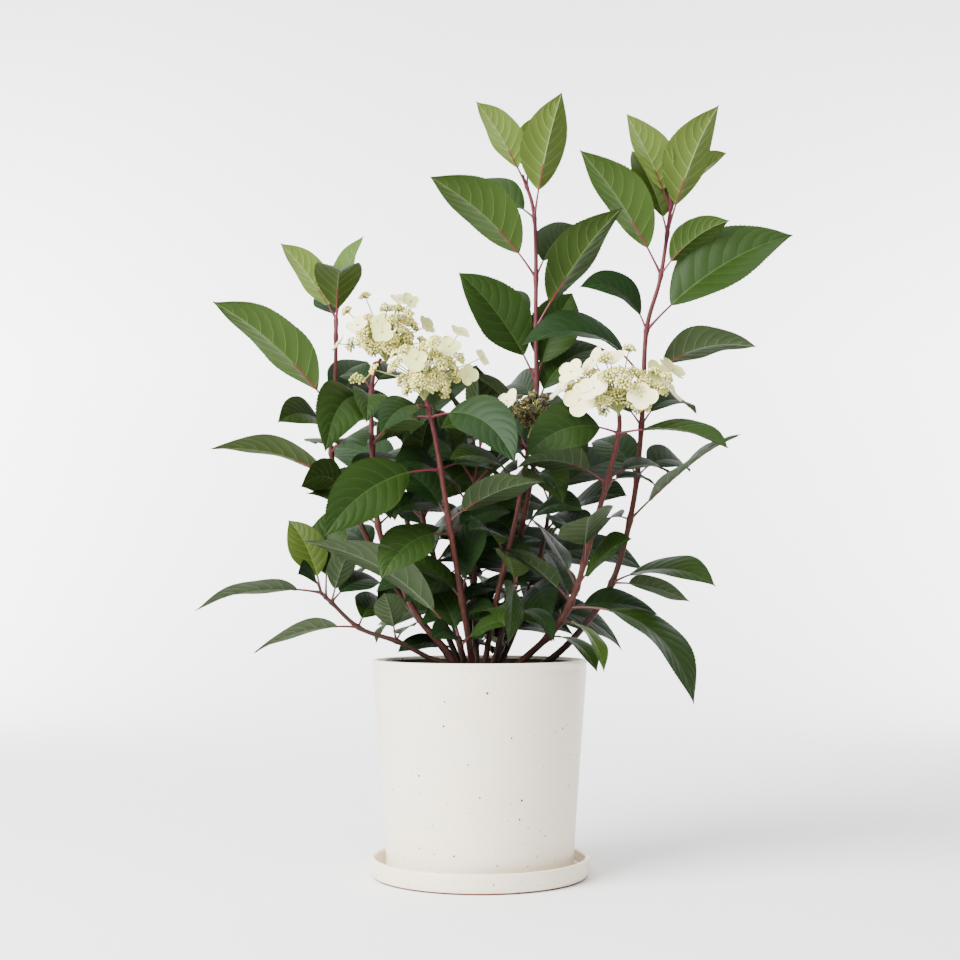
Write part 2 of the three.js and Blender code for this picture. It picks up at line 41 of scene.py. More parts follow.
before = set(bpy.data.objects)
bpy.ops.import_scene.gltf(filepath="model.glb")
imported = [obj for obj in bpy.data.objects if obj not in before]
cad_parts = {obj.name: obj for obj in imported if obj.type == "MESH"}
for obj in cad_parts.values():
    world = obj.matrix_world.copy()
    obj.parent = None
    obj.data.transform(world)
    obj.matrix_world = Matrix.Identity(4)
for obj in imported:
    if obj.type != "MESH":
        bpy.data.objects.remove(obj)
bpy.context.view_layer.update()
BODY = "root"
MM = 0.001  # metres in a millimetre; sizes below are in millimetres
CREASE = math.radians(55)  # a bend between faces that is sharper than this shows as an edge

# ---------------------------------------------------------------- the pottery's own sizes
STEPS_ROUND = 160  # faces round the planter and saucer
WOBBLE = 0.0012  # how far thrown clay is out of round, of its radius
POT = {
    "edge": 4.2,  # radius of the rounded edge at the foot
    "floor": 9,  # the planter's floor, above its underside
    "levels": 60,  # rings up the wall
    "hollow": 0.9,  # depth of the thumb's hollow under the lip
    "collar": 8,  # from the rim down to that hollow
    "thumb": 3,  # half height of that hollow
}

# ---------------------------------------------------------------- the plant's own sizes
PETIOLE = 1.4  # half thickness of a leaf stalk
RED_STALKS_ABOVE = 400  # lower leaf stalks are brown
# A cane swells at a leaf joint by a share of its radius, and the leaf's scar stands out on it.
JOINT = {"swell": 0.3, "reach": 4.5, "scar": 0.3, "scar_reach": 1.2}
# The relief of flaking bark fades out up to this height, over this length, down to the least share.
FLAKES = {"end": 420, "over": 200, "least": 0.25}
LEAF = {
    "stalk": 0.19,  # share of the reach from stem to tip that is stalk
    "width": 0.54,  # of the blade's length
    "fold": 0.14,  # rise of the margins over the midrib, of the half width
    "widest": 0.42,  # of the blade's length, from its base
    "station": 0.62,  # a cross-section of the CAD blade, by which a leaf is found in its node
}
# A crowded leaf of the CAD was turned aside by one of these [heading, rise] steps, or shortened.
SHARES = (1, 0.8, 0.62)
SWINGS = (
    (0, 0), (10, 0), (-10, 0), (0, 10), (0, -10), (18, 8), (-18, 8), (18, -9), (-18, -9),
    (28, 0), (-28, 0), (24, 16), (-24, 16), (36, -6), (-36, -6),
)
BUDS = {"share": 0.84, "lump": 0.7, "waves": 7, "phase": (2, 1)}
PETAL = {"disc": 0.46, "half": 0.52, "claw": 0.9}  # round part and half width, of its length
SPRAY = {"upward": 0.35, "forward": 0.65, "stray": 1.1}  # how far florets turn up, forward and at random

# cane: the line from the foot to the tip. thick: radius at foot and tip.
# leaves: (height of the joint, heading, rise, reach, arch, facing).
# tones: the first letter of each leaf's tone, in the same order.
# head: the flower head's centre, half width and half height, and its large florets: their radius,
# the first letters of their colours, and each one's place to the right, back and up from that centre.
# unopened: the places of clusters of green buds that stand apart from the head.
SHOOTS = [
  {
    "name": "right_tall",
    "cane": [[22, 4, 213], [48, 9, 220], [79, 10, 236], [114, 10, 270], [150, 10, 324], [174, 10, 413],
      [185, 12, 510], [191, 14, 610], [208, 14, 674], [221, 14, 758]],
    "thick": [4.6, 2.2],
    "tones": "MGGDDDDDGDDMFFYBYYF",
    "leaves": [
      [322, -42, 0, 138, 22, 22], [322, -34, -12, 100, 12, -34],
      [393, -46, 31, 176, 6, 24], [393, 114, -12, 100, 30, 20],
      [442, 116, 29, 110, 20, 25], [442, 47, 8, 110, 30, 38],
      [500, 124, 29, 110, 20, 20], [500, 40, 14, 100, 45, 30],
      [553, -25, 13, 135, 25, -25], [553, 195, 14, 150, 45, 35],
      [611, 205, 28, 97, 45, 60], [611, -10, 33, 197, 14, 60],
      [676, 208, 51, 171, 8, -10], [676, -25, 35, 99, 18, -44],
      [724, -41, 64, 154, 6, -14], [724, 140, 66, 118, 10, 30],
      [754, 214, 57, 119, 6, -6], [754, 19, 45, 103, 8, -36],
      [757, 110, 62, 92, 5, -20],
    ],
 },
  {
    "name": "middle_tall",
    "cane": [[8, 6, 214], [19, 14, 241], [40, 24, 348], [54, 30, 417], [65, 34, 487], [65, 36, 616],
      [64, 36, 745], [50, 36, 800]],
    "thick": [4.4, 2.0],
    "tones": "DDDDMDDDMDMMFDFMYMYY",
    "leaves": [
      [309, 60, 16, 95, 25, 20], [309, 215, -5, 80, 30, 20],
      [368, -50, 18, 110, 40, 40], [368, 121, 22, 100, 20, 30],
      [441, -69, -20, 95, 40, 30], [441, 110, -10, 100, 30, 30],
      [488, 141, 43, 125, 10, -30], [488, 55, -12, 110, 30, -20],
      [527, 30, 38, 125, 30, 45], [527, 125, 12, 115, 20, 40],
      [553, 193, 54, 156, 12, 78], [553, 37, 64, 127, 10, 56],
      [618, -29, 51, 169, 6, -16], [618, 130, 28, 105, 20, 20],
      [677, 202, 39, 170, 14, -22], [677, 50, 46, 112, 15, 30],
      [748, -55, 69, 146, 8, -4], [748, 155, 27, 112, 15, 40],
      [785, 211, 54, 114, 6, -14], [785, 70, 74, 96, 5, 20],
    ],
 },
  {
    "name": "left_tall",
    "cane": [[-22, 5, 213], [-38, 4, 244], [-73, 4, 287], [-115, 6, 348], [-147, 8, 416],
      [-169, 8, 468], [-165, 6, 541], [-164, 0, 624]],
    "thick": [4.4, 2.2],
    "tones": "DMFDMDDDMDFDYYMD",
    "leaves": [
      [348, 126, 20, 110, 20, 20], [348, 20, 20, 90, 25, 30],
      [411, 236, 9, 92, 45, -70], [411, 66, -6, 110, 30, 20],
      [434, 194, 14, 154, 18, -12], [434, 30, 20, 95, 25, 25],
      [469, 107, 13, 100, 20, 20], [469, -60, 0, 90, 30, 20],
      [494, 244, 1, 105, 25, 52], [494, 60, 10, 95, 30, 30],
      [517, 201, 41, 182, 10, -22], [517, 68, 40, 112, 10, 30],
      [622, 198, 53, 105, 6, -28], [622, 20, 74, 104, 5, 20],
      [602, -82, 24, 128, 50, 0], [618, 105, 37, 85, 10, 30],
    ],
 },
  {
    "name": "left_bloom",
    "cane": [[-23, -5, 213], [-33, -11, 241], [-69, -18, 285], [-94, -22, 336], [-113, -26, 385],
      [-120, -30, 474], [-121, -22, 545], [-112, -14, 574]],
    "thick": [4.2, 2.4],
    "tones": "MDDDDDMGDD",
    "leaves": [
      [385, 190, 25, 88, 15, 25], [385, 51, 15, 105, 25, 30],
      [430, -75, -25, 100, 40, 30], [430, 100, 0, 95, 25, 30],
      [474, 140, 6, 110, 20, 30], [474, -55, 9, 108, 25, -30],
      [524, 247, -32, 122, 45, 46], [524, -71, -30, 84, 40, -14],
      [536, 140, 12, 100, 25, 35], [536, 60, 19, 95, 25, 30],
    ],
    "head": {
      "centre": [-106, -12, 593], "wide": 46, "high": 48, "turn": 48, "floret": 12, "petals": "LCLCLLCLL",
      "florets": [
        [-52, -14, -4], [-30, -28, 14], [-2, -44, 4], [16, -22, 44], [28, -26, 42],
        [46, -8, 18], [6, 30, 30], [-24, 26, 12], [-8, -30, 18],
      ],
      "unopened": [[-31, -18, -48]],
    },
 },
  {
    "name": "front_left",
    "cane": [[-5, -23, 212], [-9, -29, 237], [-20, -44, 306], [-34, -58, 389], [-48, -70, 476],
      [-61, -78, 530]],
    "thick": [4.3, 2.4],
    "tones": "DMMDGDMDDDDD",
    "leaves": [
      [303, 67, 65, 118, 8, -20], [303, 160, 35, 90, 15, 20],
      [374, 225, -26, 112, 30, 40], [374, 60, 10, 95, 20, 30],
      [388, -28, 20, 120, 15, -22], [388, 136, 26, 110, 20, 30],
      [444, 214, -28, 160, 25, 66], [444, 46, -6, 105, 30, 30],
      [500, -42, -25, 132, 36, 46], [500, 130, -10, 100, 20, -30],
      [510, 55, -16, 100, 30, 30], [510, 236, -32, 90, 30, 30],
    ],
    "head": {
      "centre": [-60, -78, 542], "wide": 47, "high": 52, "turn": -35, "floret": 12.5, "petals": "LLCLCLL",
      "florets": [
        [-8, -46, 14], [38, -6, 50], [62, 6, 24], [26, -30, 30], [-22, 30, 30], [24, 34, 10],
        [46, -16, 2],
      ],
    },
 },
  {
    "name": "right_bloom",
    "cane": [[20, -10, 212], [47, -15, 236], [84, -22, 272], [105, -30, 312], [119, -36, 361],
      [140, -46, 433], [152, -52, 484], [153, -54, 506]],
    "thick": [4.3, 2.5],
    "tones": "MMYDMDGDMDGDGDMGDD",
    "leaves": [
      [262, -52, -23, 88, 30, -8], [262, 130, 27, 90, 20, 20],
      [280, -54, -35, 92, 35, -20], [280, 95, 20, 95, 25, 25],
      [294, -27, -34, 178, 40, 8], [294, 44, -3, 108, 15, 36],
      [300, 221, 29, 128, 12, 4], [300, 108, 40, 90, 8, -22],
      [316, -60, 28, 112, 12, 60], [316, 120, 43, 116, 8, -28],
      [343, -81, 18, 148, 20, -26], [361, 110, 27, 100, 15, 20],
      [430, 211, 7, 120, 25, -26], [430, 20, 0, 70, 30, 20],
      [485, -38, -9, 137, 15, 16], [485, 210, -14, 122, 30, 62],
      [434, 51, -3, 100, 30, 20], [361, 232, 20, 85, 15, 30],
    ],
    "head": {
      "centre": [152, -54, 527], "wide": 64, "high": 43, "turn": 70, "floret": 17, "petals": "CIIICILLCCLC",
      "florets": [
        [-53, -20, 23], [-64, -10, 4], [-28, -14, 36], [-10, -8, 40], [-45, -32, -9],
        [-30, -42, 2], [44, 0, 24], [60, 8, 30], [54, -14, 6], [20, -48, -8],
        [36, 36, 18], [-34, 36, 16],
      ],
    },
 },
  {
    "name": "seed_head",
    "cane": [[3, -9, 214], [10, -10, 260], [22, -16, 320], [38, -28, 385], [50, -42, 450], [55, -50, 486]],
    "thick": [3.8, 2.0],
    "tones": "DMDDMDMD",
    "leaves": [
      [286, 105, 30, 100, 20, 30], [286, -77, -10, 88, 40, 20],
      [348, 246, 17, 100, 30, 30], [348, 58, 21, 105, 25, 20],
      [426, 225, 13, 112, 30, 35], [426, -68, 4, 100, 30, -30],
      [466, 215, 20, 116, 30, 40], [466, 130, 38, 100, 20, 30],
    ],
    "head": {
      "centre": [57, -54, 504], "wide": 27, "high": 31, "turn": 205, "floret": 15, "petals": "C",
      "florets": [[-28, -36, 12]], "seedy": True,
    },
 },
  {
    "name": "low_left",
    "cane": [[-18, -15, 212], [-30, -24, 230], [-57, -27, 240], [-90, -30, 257], [-132, -34, 272],
      [-163, -36, 300], [-176, -36, 312]],
    "thick": [3.4, 2.0],
    "tones": "GDGMGDGDBM",
    "leaves": [
      [258, 262, 38, 86, 15, -20], [258, 76, 12, 75, 15, -20],
      [273, 208, -12, 125, 16, -22], [273, 75, 21, 90, 20, 30],
      [300, -45, 61, 76, 10, -20], [300, 55, 16, 90, 25, 30],
      [311, 204, -6, 142, 14, -16], [311, 258, 16, 74, 25, 60],
      [311, 156, 63, 92, 14, 50], [306, 92, 65, 112, 12, 12],
    ],
 },
  {
    "name": "front_basal",
    "cane": [[-13, -23, 212], [-18, -37, 234], [-21, -45, 252], [-23, -50, 264]],
    "thick": [3.2, 2.4],
    "tones": "GMDG",
    "leaves": [
      [252, 200, 33, 211, 22, -12], [252, -43, 22, 74, 25, 40],
      [260, 243, 3, 62, 25, 48], [260, 100, 50, 96, 12, 20],
    ],
 },
  {
    "name": "front_low",
    "cane": [[7, -21, 212], [16, -28, 240], [30, -36, 284], [40, -42, 322]],
    "thick": [3.0, 1.8],
    "tones": "MDMDG",
    "leaves": [
      [284, 190, 15, 70, 30, 20], [284, -60, -17, 80, 45, 2],
      [318, 265, -48, 100, 45, 62], [318, -62, 26, 92, 20, 30],
      [320, 90, 48, 95, 10, 30],
    ],
 },
  {"name": "centre_left", "cane": [[-12, 7, 215], [-34, 18, 290], [-64, 34, 390], [-84, 48, 472]]},
  {"name": "centre", "cane": [[-3, 3, 216], [-6, 10, 300], [-8, 20, 400], [-2, 34, 474]]},
  {"name": "back_left", "cane": [[-15, 16, 213], [-48, 56, 288], [-86, 104, 392], [-100, 132, 474]]},
  {"name": "back_middle", "cane": [[-2, 22, 213], [-8, 70, 296], [-8, 124, 400], [0, 152, 482]]},
  {"name": "back_right", "cane": [[15, 17, 213], [46, 56, 282], [76, 100, 372], [88, 124, 456]]},
  {"name": "back_low", "cane": [[7, 21, 213], [26, 66, 246], [38, 118, 286], [42, 160, 340]]},
]
# The small leaves between the pairs of an inner shoot.
SPRIGS = {"count": 5, "reach": (58, 88), "rise": (-8, 34), "arch": 26, "facing": 30}
# The inner and back shoots, whose opposite pairs are each turned a quarter from the last.
HIDDEN = {
    "thick": (4, 2.1),
    "first": 284,
    "pairs": 6,
    "reach": (104, 146),
    "rise": (-10, 50),
    "facing": 38,
    "longest": (0.25, 0.85),
    "top": 3,
    # Mostly the darkest tone, which holds painted shade.
    "tones": "DMDDGD",
}
UP = np.array((0.0, 0.0, 1.0))
BACKWARD = np.array((0.0, 1.0, 0.0))


# ---------------------------------------------------------------- small helpers
def mix(a, b, t):
    return a + (b - a) * t


def fraction(key):
    """A fixed fraction of 0 to 1 for each key, so that the plant always grows the same way."""
    s = math.sin(key * 12.9898 + 78.233) * 43758.5453
    return s - math.floor(s)


def unit(v):
    return v / np.linalg.norm(v, axis=-1, keepdims=True)


def linear(code):
    """A colour of six hex digits in sRGB as a linear colour with alpha."""
    parts = [int(code[i : i + 2], 16) / 255 for i in (1, 3, 5)]
    return [c / 12.92 if c <= 0.04045 else ((c + 0.055) / 1.055) ** 2.4 for c in parts] + [1.0]


class Gathered:
    """Vertices and faces of many small things that become one mesh."""

    def __init__(self):
        self.points, self.corners, self.sizes, self.slots = [], [], [], []
        self.count = 0

    def add(self, points, corners, sizes, slots):
        points = np.asarray(points, float).reshape(-1, 3)
        sizes = np.asarray(sizes, int)
        self.points.append(points)
        self.corners.append(np.asarray(corners, int) + self.count)
        self.sizes.append(sizes)
        self.slots.append(np.broadcast_to(np.asarray(slots, int), sizes.shape))
        self.count += len(points)

    def build(self, name, materials, slot, nodes):
        """The mesh object, in metres, riding on the plant's one body in place of CAD nodes."""
        if not self.count:
            raise RuntimeError(f"nothing was made for {name}")
        mesh = bpy.data.meshes.new(name)
        points, corners = np.concatenate(self.points), np.concatenate(self.corners)
        sizes = np.concatenate(self.sizes)
        mesh.vertices.add(len(points))
        mesh.vertices.foreach_set("co", (points * MM).ravel())
        mesh.loops.add(len(corners))
        mesh.loops.foreach_set("vertex_index", corners)
        mesh.polygons.add(len(sizes))
        mesh.polygons.foreach_set("loop_start", np.concatenate(([0], np.cumsum(sizes)[:-1])))
        mesh.polygons.foreach_set("material_index", np.concatenate(self.slots))
        mesh.update(calc_edges=True)
        mesh.polygons.foreach_set("use_smooth", np.ones(len(sizes), bool))
        mesh.set_sharp_from_angle(angle=CREASE)
        for made in materials:
            mesh.materials.append(made)
        obj = bpy.data.objects.new(name, mesh)
        bpy.context.scene.collection.objects.link(obj)
        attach(obj, BODY)
        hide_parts(*nodes)
        return obj


def grid_faces(rows, columns, closed):
    """Corners and sizes of the quads between rows of points; closed joins last column to first."""
    r, c = np.mgrid[0 : rows - 1, 0 : columns if closed else columns - 1]
    a = r * columns + c
    b = r * columns + (c + 1) % columns
    quads = np.stack([a, b, b + columns, a + columns], axis=-1).reshape(-1, 4)
    return quads.ravel(), np.full(len(quads), 4)


def tube(points, radii, sides=8, relief=None):
    """A round limb along points, closed at both ends: its points, corners and face sizes."""
    points = np.asarray(points, float)
    radii = np.broadcast_to(np.asarray(radii, float), (len(points),))
    along = unit(np.gradient(points, axis=0))
    hint = BACKWARD if abs(along[0] @ UP) > 0.9 else UP
    across = unit(np.cross(hint, along[0]))
    frames = []
    for direction in along:
        across = unit(across - direction * (across @ direction))
        frames.append((across, np.cross(direction, across)))
    frames = np.array(frames)
    angle = np.linspace(0, 2 * math.pi, sides, endpoint=False)
    swell = radii[:, None] * (1 if relief is None else relief(angle))
    ring = (
        np.cos(angle)[None, :, None] * frames[:, 0][:, None]
        + np.sin(angle)[None, :, None] * frames[:, 1][:, None]
    )
    skin = points[:, None] + ring * swell[..., None]
    corners, sizes = grid_faces(len(points), sides, closed=True)
    start = (len(points) - 1) * sides
    caps = list(range(sides))[::-1] + [start + k for k in range(sides)]
    return skin.reshape(-1, 3), np.concatenate([corners, caps]), np.concatenate([sizes, [sides] * 2])


def turned(profile):
    """A turned body from (radius, height) pairs; a pair on the axis closes it to a point."""
    points, corners, sizes, rings, steps = [], [], [], [], STEPS_ROUND
    angle = np.linspace(0, 2 * math.pi, steps, endpoint=False)
    uneven = 1 + WOBBLE * (np.sin(2 * angle + 1) + 0.6 * np.sin(3 * angle + 4))
    for radius, height in profile:
        rings.append([len(points)] if radius == 0 else list(range(len(points), len(points) + steps)))
        if radius == 0:
            points.append((0, 0, height))
        else:
            r = radius * uneven
            points.extend(np.stack([r * np.cos(angle), r * np.sin(angle), np.full(steps, height)], 1))
    for low, high in zip(rings, rings[1:]):
        for k in range(steps):
            n = (k + 1) % steps
            if len(low) == 1 and len(high) == 1:
                continue
            if len(low) == 1:
                face = [low[0], high[n], high[k]]
            elif len(high) == 1:
                face = [low[k], low[n], high[0]]
            else:
                face = [low[k], low[n], high[n], high[k]]
            corners.extend(face)
            sizes.append(len(face))
    return np.array(points), corners, sizes


def around(rings, steps):
    """Ring values and angles of a round skin, as two grids."""
    return np.meshgrid(rings, np.linspace(0, 2 * math.pi, steps, False), indexing="ij")


def arc(r, z, radius, start, end, steps):
    """Points along a part of a circle, from one angle to another."""
    angles = np.radians(np.linspace(start, end, steps + 1))
    return [(r + radius * math.cos(a), z + radius * math.sin(a)) for a in angles]


def ball(detail):
    """A unit ball of triangles: 20 at detail 1, 80 at detail 2."""
    made = bmesh.new()
    bmesh.ops.create_icosphere(made, subdivisions=detail, radius=1)
    points = np.array([v.co for v in made.verts])
    corners = np.array([[v.index for v in f.verts] for f in made.faces]).ravel()
    made.free()
    return points, corners, np.full(len(corners) // 3, 3)


# ---------------------------------------------------------------- materials
def node(tree, kind, settings=None, links=None):
    """Adds a node with its settings, and links its inputs to other nodes' outputs."""
    made = tree.nodes.new(kind)
    for name, value in (settings or {}).items():
        if isinstance(name, int) or name in made.inputs:
            made.inputs[name].default_value = value
        else:
            setattr(made, name, value)
    for name, output in (links or {}).items():
        tree.links.new(output, made.inputs[name])
    return made


def coated(name, settings):
    """A material with one Principled shader, its plain values on the shader's own sockets."""
    made = bpy.data.materials.new(name)
    made.use_nodes = True
    tree = made.node_tree
    tree.nodes.clear()
    shader = node(tree, "ShaderNodeBsdfPrincipled", settings)
    node(tree, "ShaderNodeOutputMaterial", links={"Surface": shader.outputs["BSDF"]})
    place = node(tree, "ShaderNodeTexCoord").outputs["Object"]
    return made, tree, shader, place


def per_metre(millimetres):
    """The scale of a pattern whose features stand this far apart."""
    return 1 / (millimetres * MM)


def glazed_stoneware(look):
    """Satin white glaze over speckled stoneware, fired: iron in the clay melts through as specks."""
    made, tree, shader, place = coated(
        "glazed stoneware", {"Roughness": 0.4, "IOR": 1.5, "Coat Weight": 0.08, "Coat Roughness": 0.25}
    )
    cloud = node(tree, "ShaderNodeTexNoise", {"Scale": per_metre(60), "Detail": 3.0}, {"Vector": place})
    glaze = node(
        tree, "ShaderNodeMix", {"data_type": "RGBA", 6: look.glaze[:], 7: look.glaze_warm[:]},
        {0: cloud.outputs["Fac"]},
    )
    height = node(tree, "ShaderNodeSeparateXYZ", links={0: place}).outputs["Z"]
    # Specks gather towards the foot, where the glaze is thinner.
    share = node(
        tree, "ShaderNodeMapRange",
        {"From Min": 0.0, "From Max": look.pot_height, "To Min": 0.36, "To Max": 0.84}, {"Value": height},
    ).outputs["Result"]
    colour = glaze.outputs[2]
    for spacing, radius, salt in ((9.0, 0.8, 0.0), (4.6, 0.36, 3.7)):
        moved = node(tree, "ShaderNodeVectorMath", {"operation": "ADD", 1: (salt, salt, salt)}, {0: place})
        cells = node(
            tree, "ShaderNodeTexVoronoi", {"Scale": per_metre(spacing)}, {"Vector": moved.outputs[0]}
        )
        chance = node(tree, "ShaderNodeSeparateColor", links={0: cells.outputs["Color"]})
        size = node(
            tree, "ShaderNodeMath", {"operation": "MULTIPLY", 1: 1.7 * radius / spacing},
            {0: chance.outputs["Green"]},
        )
        near = node(
            tree, "ShaderNodeMath", {"operation": "LESS_THAN"},
            {0: cells.outputs["Distance"], 1: size.outputs[0]},
        )
        some = node(
            tree, "ShaderNodeMath", {"operation": "GREATER_THAN"}, {0: chance.outputs["Red"], 1: share}
        )
        speck = node(
            tree, "ShaderNodeMath", {"operation": "MULTIPLY"}, {0: near.outputs[0], 1: some.outputs[0]}
        )
        mixed = node(
            tree, "ShaderNodeMix", {"data_type": "RGBA", 7: look.speck[:]}, {0: speck.outputs[0], 6: colour}
        )
        colour = mixed.outputs[2]
    tree.links.new(colour, shader.inputs["Base Color"])
    # Faint rings from the wheel and the fine orange peel of a satin glaze.
    rings = node(
        tree, "ShaderNodeTexWave", {"bands_direction": "Z", "Scale": per_metre(22), "Distortion": 1.5},
        {"Vector": place},
    )
    peel = node(tree, "ShaderNodeTexNoise", {"Scale": per_metre(2.5), "Detail": 2.0}, {"Vector": place})
    relief = node(
        tree, "ShaderNodeMath", {"operation": "MULTIPLY_ADD", 1: 0.5},
        {0: rings.outputs["Fac"], 2: peel.outputs["Fac"]},
    )
    bump = node(
        tree, "ShaderNodeBump", {"Strength": 0.3, "Distance": 0.3 * MM}, {"Height": relief.outputs[0]}
    )
    tree.links.new(bump.outputs[0], shader.inputs["Normal"])
    return made


def bare_stoneware(name, colour):
    """Unglazed stoneware: toasted red-brown where the foot was wiped; inside the planter, bare clay darkened
    with painted shade.
    """
    made, tree, shader, place = coated(name, {"Base Color": colour[:], "Roughness": 0.85, "IOR": 1.5})
    grit = node(tree, "ShaderNodeTexNoise", {"Scale": per_metre(0.8), "Detail": 2.0}, {"Vector": place})
    bump = node(tree, "ShaderNodeBump", {"Strength": 0.5, "Distance": 0.2 * MM}, {"Height": grit.outputs[0]})
    tree.links.new(bump.outputs[0], shader.inputs["Normal"])
    return made


def potting_mix():
    """Moist peat with bark crumbs, pressed by hand: dark, open and without gloss."""
    made, tree, shader, place = coated("potting mix", {"Roughness": 0.95, "IOR": 1.4})
    crumbs = node(tree, "ShaderNodeTexNoise", {"Scale": per_metre(5), "Detail": 6.0}, {"Vector": place})
    tint = node(
        tree, "ShaderNodeMix", {"data_type": "RGBA", 6: linear("#17110C"), 7: linear("#4A382A")},
        {0: crumbs.outputs["Fac"]},
    )
    bump = node(tree, "ShaderNodeBump", {"Strength": 1.0, "Distance": 2 * MM}, {"Height": crumbs.outputs[0]})
    tree.links.new(tint.outputs[2], shader.inputs["Base Color"])
    tree.links.new(bump.outputs[0], shader.inputs["Normal"])
    return made


def cane_bark(name, look, oldest, youngest):
    """Hydrangea bark: smooth plum red where young, duller red-brown, then dark and flaking below."""
    made, tree, shader, place = coated(name, {"Roughness": 0.6, "IOR": 1.45, "Specular IOR Level": 0.25})
    height = node(tree, "ShaderNodeSeparateXYZ", links={0: place}).outputs["Z"]
    patchy = node(tree, "ShaderNodeTexNoise", {"Scale": per_metre(9), "Detail": 4.0}, {"Vector": place})
    level = node(
        tree, "ShaderNodeMath", {"operation": "MULTIPLY_ADD", 1: 0.12}, {0: patchy.outputs[0], 2: height}
    )
    ramp = node(
        tree, "ShaderNodeMapRange", {"From Min": oldest, "From Max": youngest}, {"Value": level.outputs[0]}
    )
    tint = node(tree, "ShaderNodeValToRGB", links={"Fac": ramp.outputs["Result"]})
    stops = tint.color_ramp.elements
    stops[0].color, stops[1].color = look.bark_old[:], look.bark_young[:]
    for place_up, colour in ((0.16, look.bark_low), (0.42, look.bark_middle)):
        stops.new(place_up).color = colour[:]
    stretched = node(
        tree, "ShaderNodeMapping", {"Scale": (per_metre(1.1), per_metre(1.1), per_metre(7))},
        {"Vector": place},
    )
    fissures = node(
        tree, "ShaderNodeTexNoise", {"Scale": 1.0, "Detail": 4.0}, {"Vector": stretched.outputs[0]}
    )
    flecks = node(
        tree, "ShaderNodeMapRange", {"From Min": 0.35, "From Max": 0.65, "To Min": 0.72, "To Max": 1.15},
        {"Value": fissures.outputs["Fac"]},
    )
    shade = node(
        tree, "ShaderNodeVectorMath", {"operation": "SCALE"},
        {0: tint.outputs["Color"], "Scale": flecks.outputs["Result"]},
    )
    tree.links.new(shade.outputs[0], shader.inputs["Base Color"])
    bump = node(
        tree, "ShaderNodeBump", {"Strength": 0.6, "Distance": 0.35 * MM}, {"Height": fissures.outputs[0]}
    )
    tree.links.new(bump.outputs[0], shader.inputs["Normal"])
    return made


def leaf_tissue(name, colour, roughness, sheen, mesh_size, strength):
    """Living leaf: a waxy upper side or a matt, netted underside; the net is the finest veins."""
    made, tree, shader, place = coated(
        name,
        {"Base Color": linear(colour), "Roughness": roughness, "IOR": 1.42, "Specular IOR Level": sheen},
    )
    net = node(
        tree, "ShaderNodeTexVoronoi", {"feature": "DISTANCE_TO_EDGE", "Scale": per_metre(mesh_size)},
        {"Vector": place},
    )
    bump = node(
        tree, "ShaderNodeBump", {"Strength": strength, "Distance": 0.5 * MM, "invert": strength > 0.3},
        {"Height": net.outputs["Distance"]},
    )
    tree.links.new(bump.outputs[0], shader.inputs["Normal"])
    return made


def petal_tissue(name, colour):
    """A petal: thin and matt, with a soft sheen and faint creases along it."""
    made, tree, shader, place = coated(
        name, {"Base Color": colour[:], "Roughness": 0.6, "IOR": 1.4, "Sheen Weight": 0.15}
    )
    creases = node(tree, "ShaderNodeTexNoise", {"Scale": per_metre(2), "Detail": 2.0}, {"Vector": place})
    bump = node(
        tree, "ShaderNodeBump", {"Strength": 0.25, "Distance": 0.3 * MM}, {"Height": creases.outputs[0]}
    )
    tree.links.new(bump.outputs[0], shader.inputs["Normal"])
    return made


def stalk_skin(name, colour):
    """Skin of a leaf or flower stalk: smooth and slightly glossy, with faint lengthwise grooves."""
    made, tree, shader, place = coated(
        name, {"Base Color": colour[:], "Roughness": 0.45, "IOR": 1.45}
    )
    grooves = node(tree, "ShaderNodeTexNoise", {"Scale": per_metre(1.5), "Detail": 1.0}, {"Vector": place})
    bump = node(
        tree, "ShaderNodeBump", {"Strength": 0.3, "Distance": 0.2 * MM}, {"Height": grooves.outputs[0]}
    )
    tree.links.new(bump.outputs[0], shader.inputs["Normal"])
    return made


def seamless_paper(look):
    """Seamless studio paper: matt and even, with a fibre too fine to see."""
    made, tree, shader, place = coated("seamless paper", {"Base Color": look.paper[:], "Roughness": 0.9})
    fibre = node(tree, "ShaderNodeTexNoise", {"Scale": per_metre(3), "Detail": 2.0}, {"Vector": place})
    bump = node(
        tree, "ShaderNodeBump", {"Strength": 0.05, "Distance": 0.1 * MM}, {"Height": fibre.outputs[0]}
    )
    tree.links.new(bump.outputs[0], shader.inputs["Normal"])
    return made


# Upper side, its veins, underside and its veins, from the soft tips down to the old leaves. The darkest tone
# is partly painted shade and the yellow-green tone partly painted light.
TONES = {
    "young": ("#3A5212", "#53692E", "#4C5C26", "#6C7C4A"),
    "fresh": ("#263F0A", "#3B521C", "#2F4018", "#4A5C30"),
    "mature": ("#1B2E06", "#2D4118", "#2E3B16", "#475334"),
    # The darkest tone: old leaf colour darkened with painted shade.
    "deep": ("#13270B", "#233615", "#293618", "#3E4B2E"),
    # A yellow-green leaf colour, made lighter with painted light for leaves that sit in shade.
    "bright": ("#31400E", "#465420", "#3C4A1E", "#586434"),
    "grey": ("#1A2D0B", "#2C3F1B", "#323E26", "#4A5640"),
}
RED_MIDRIB = "#5C1F20"  # the first part of the midrib, on the underside
# Each side's roughness and gloss, the width of its net's meshes in mm, and how far the net stands out.
LEAF_FINISH = {
    "upper side": (0.54, 0.18, 2.2, 0.16),
    "upper veins": (0.56, 0.18, 2.2, 0.1),
    "underside": (0.65, 0.1, 1.8, 0.6),
    "under veins": (0.6, 0.12, 2.4, 0.2),
}
MIDRIB_FINISH = (0.5, 0.2, 2.2, 0.1)


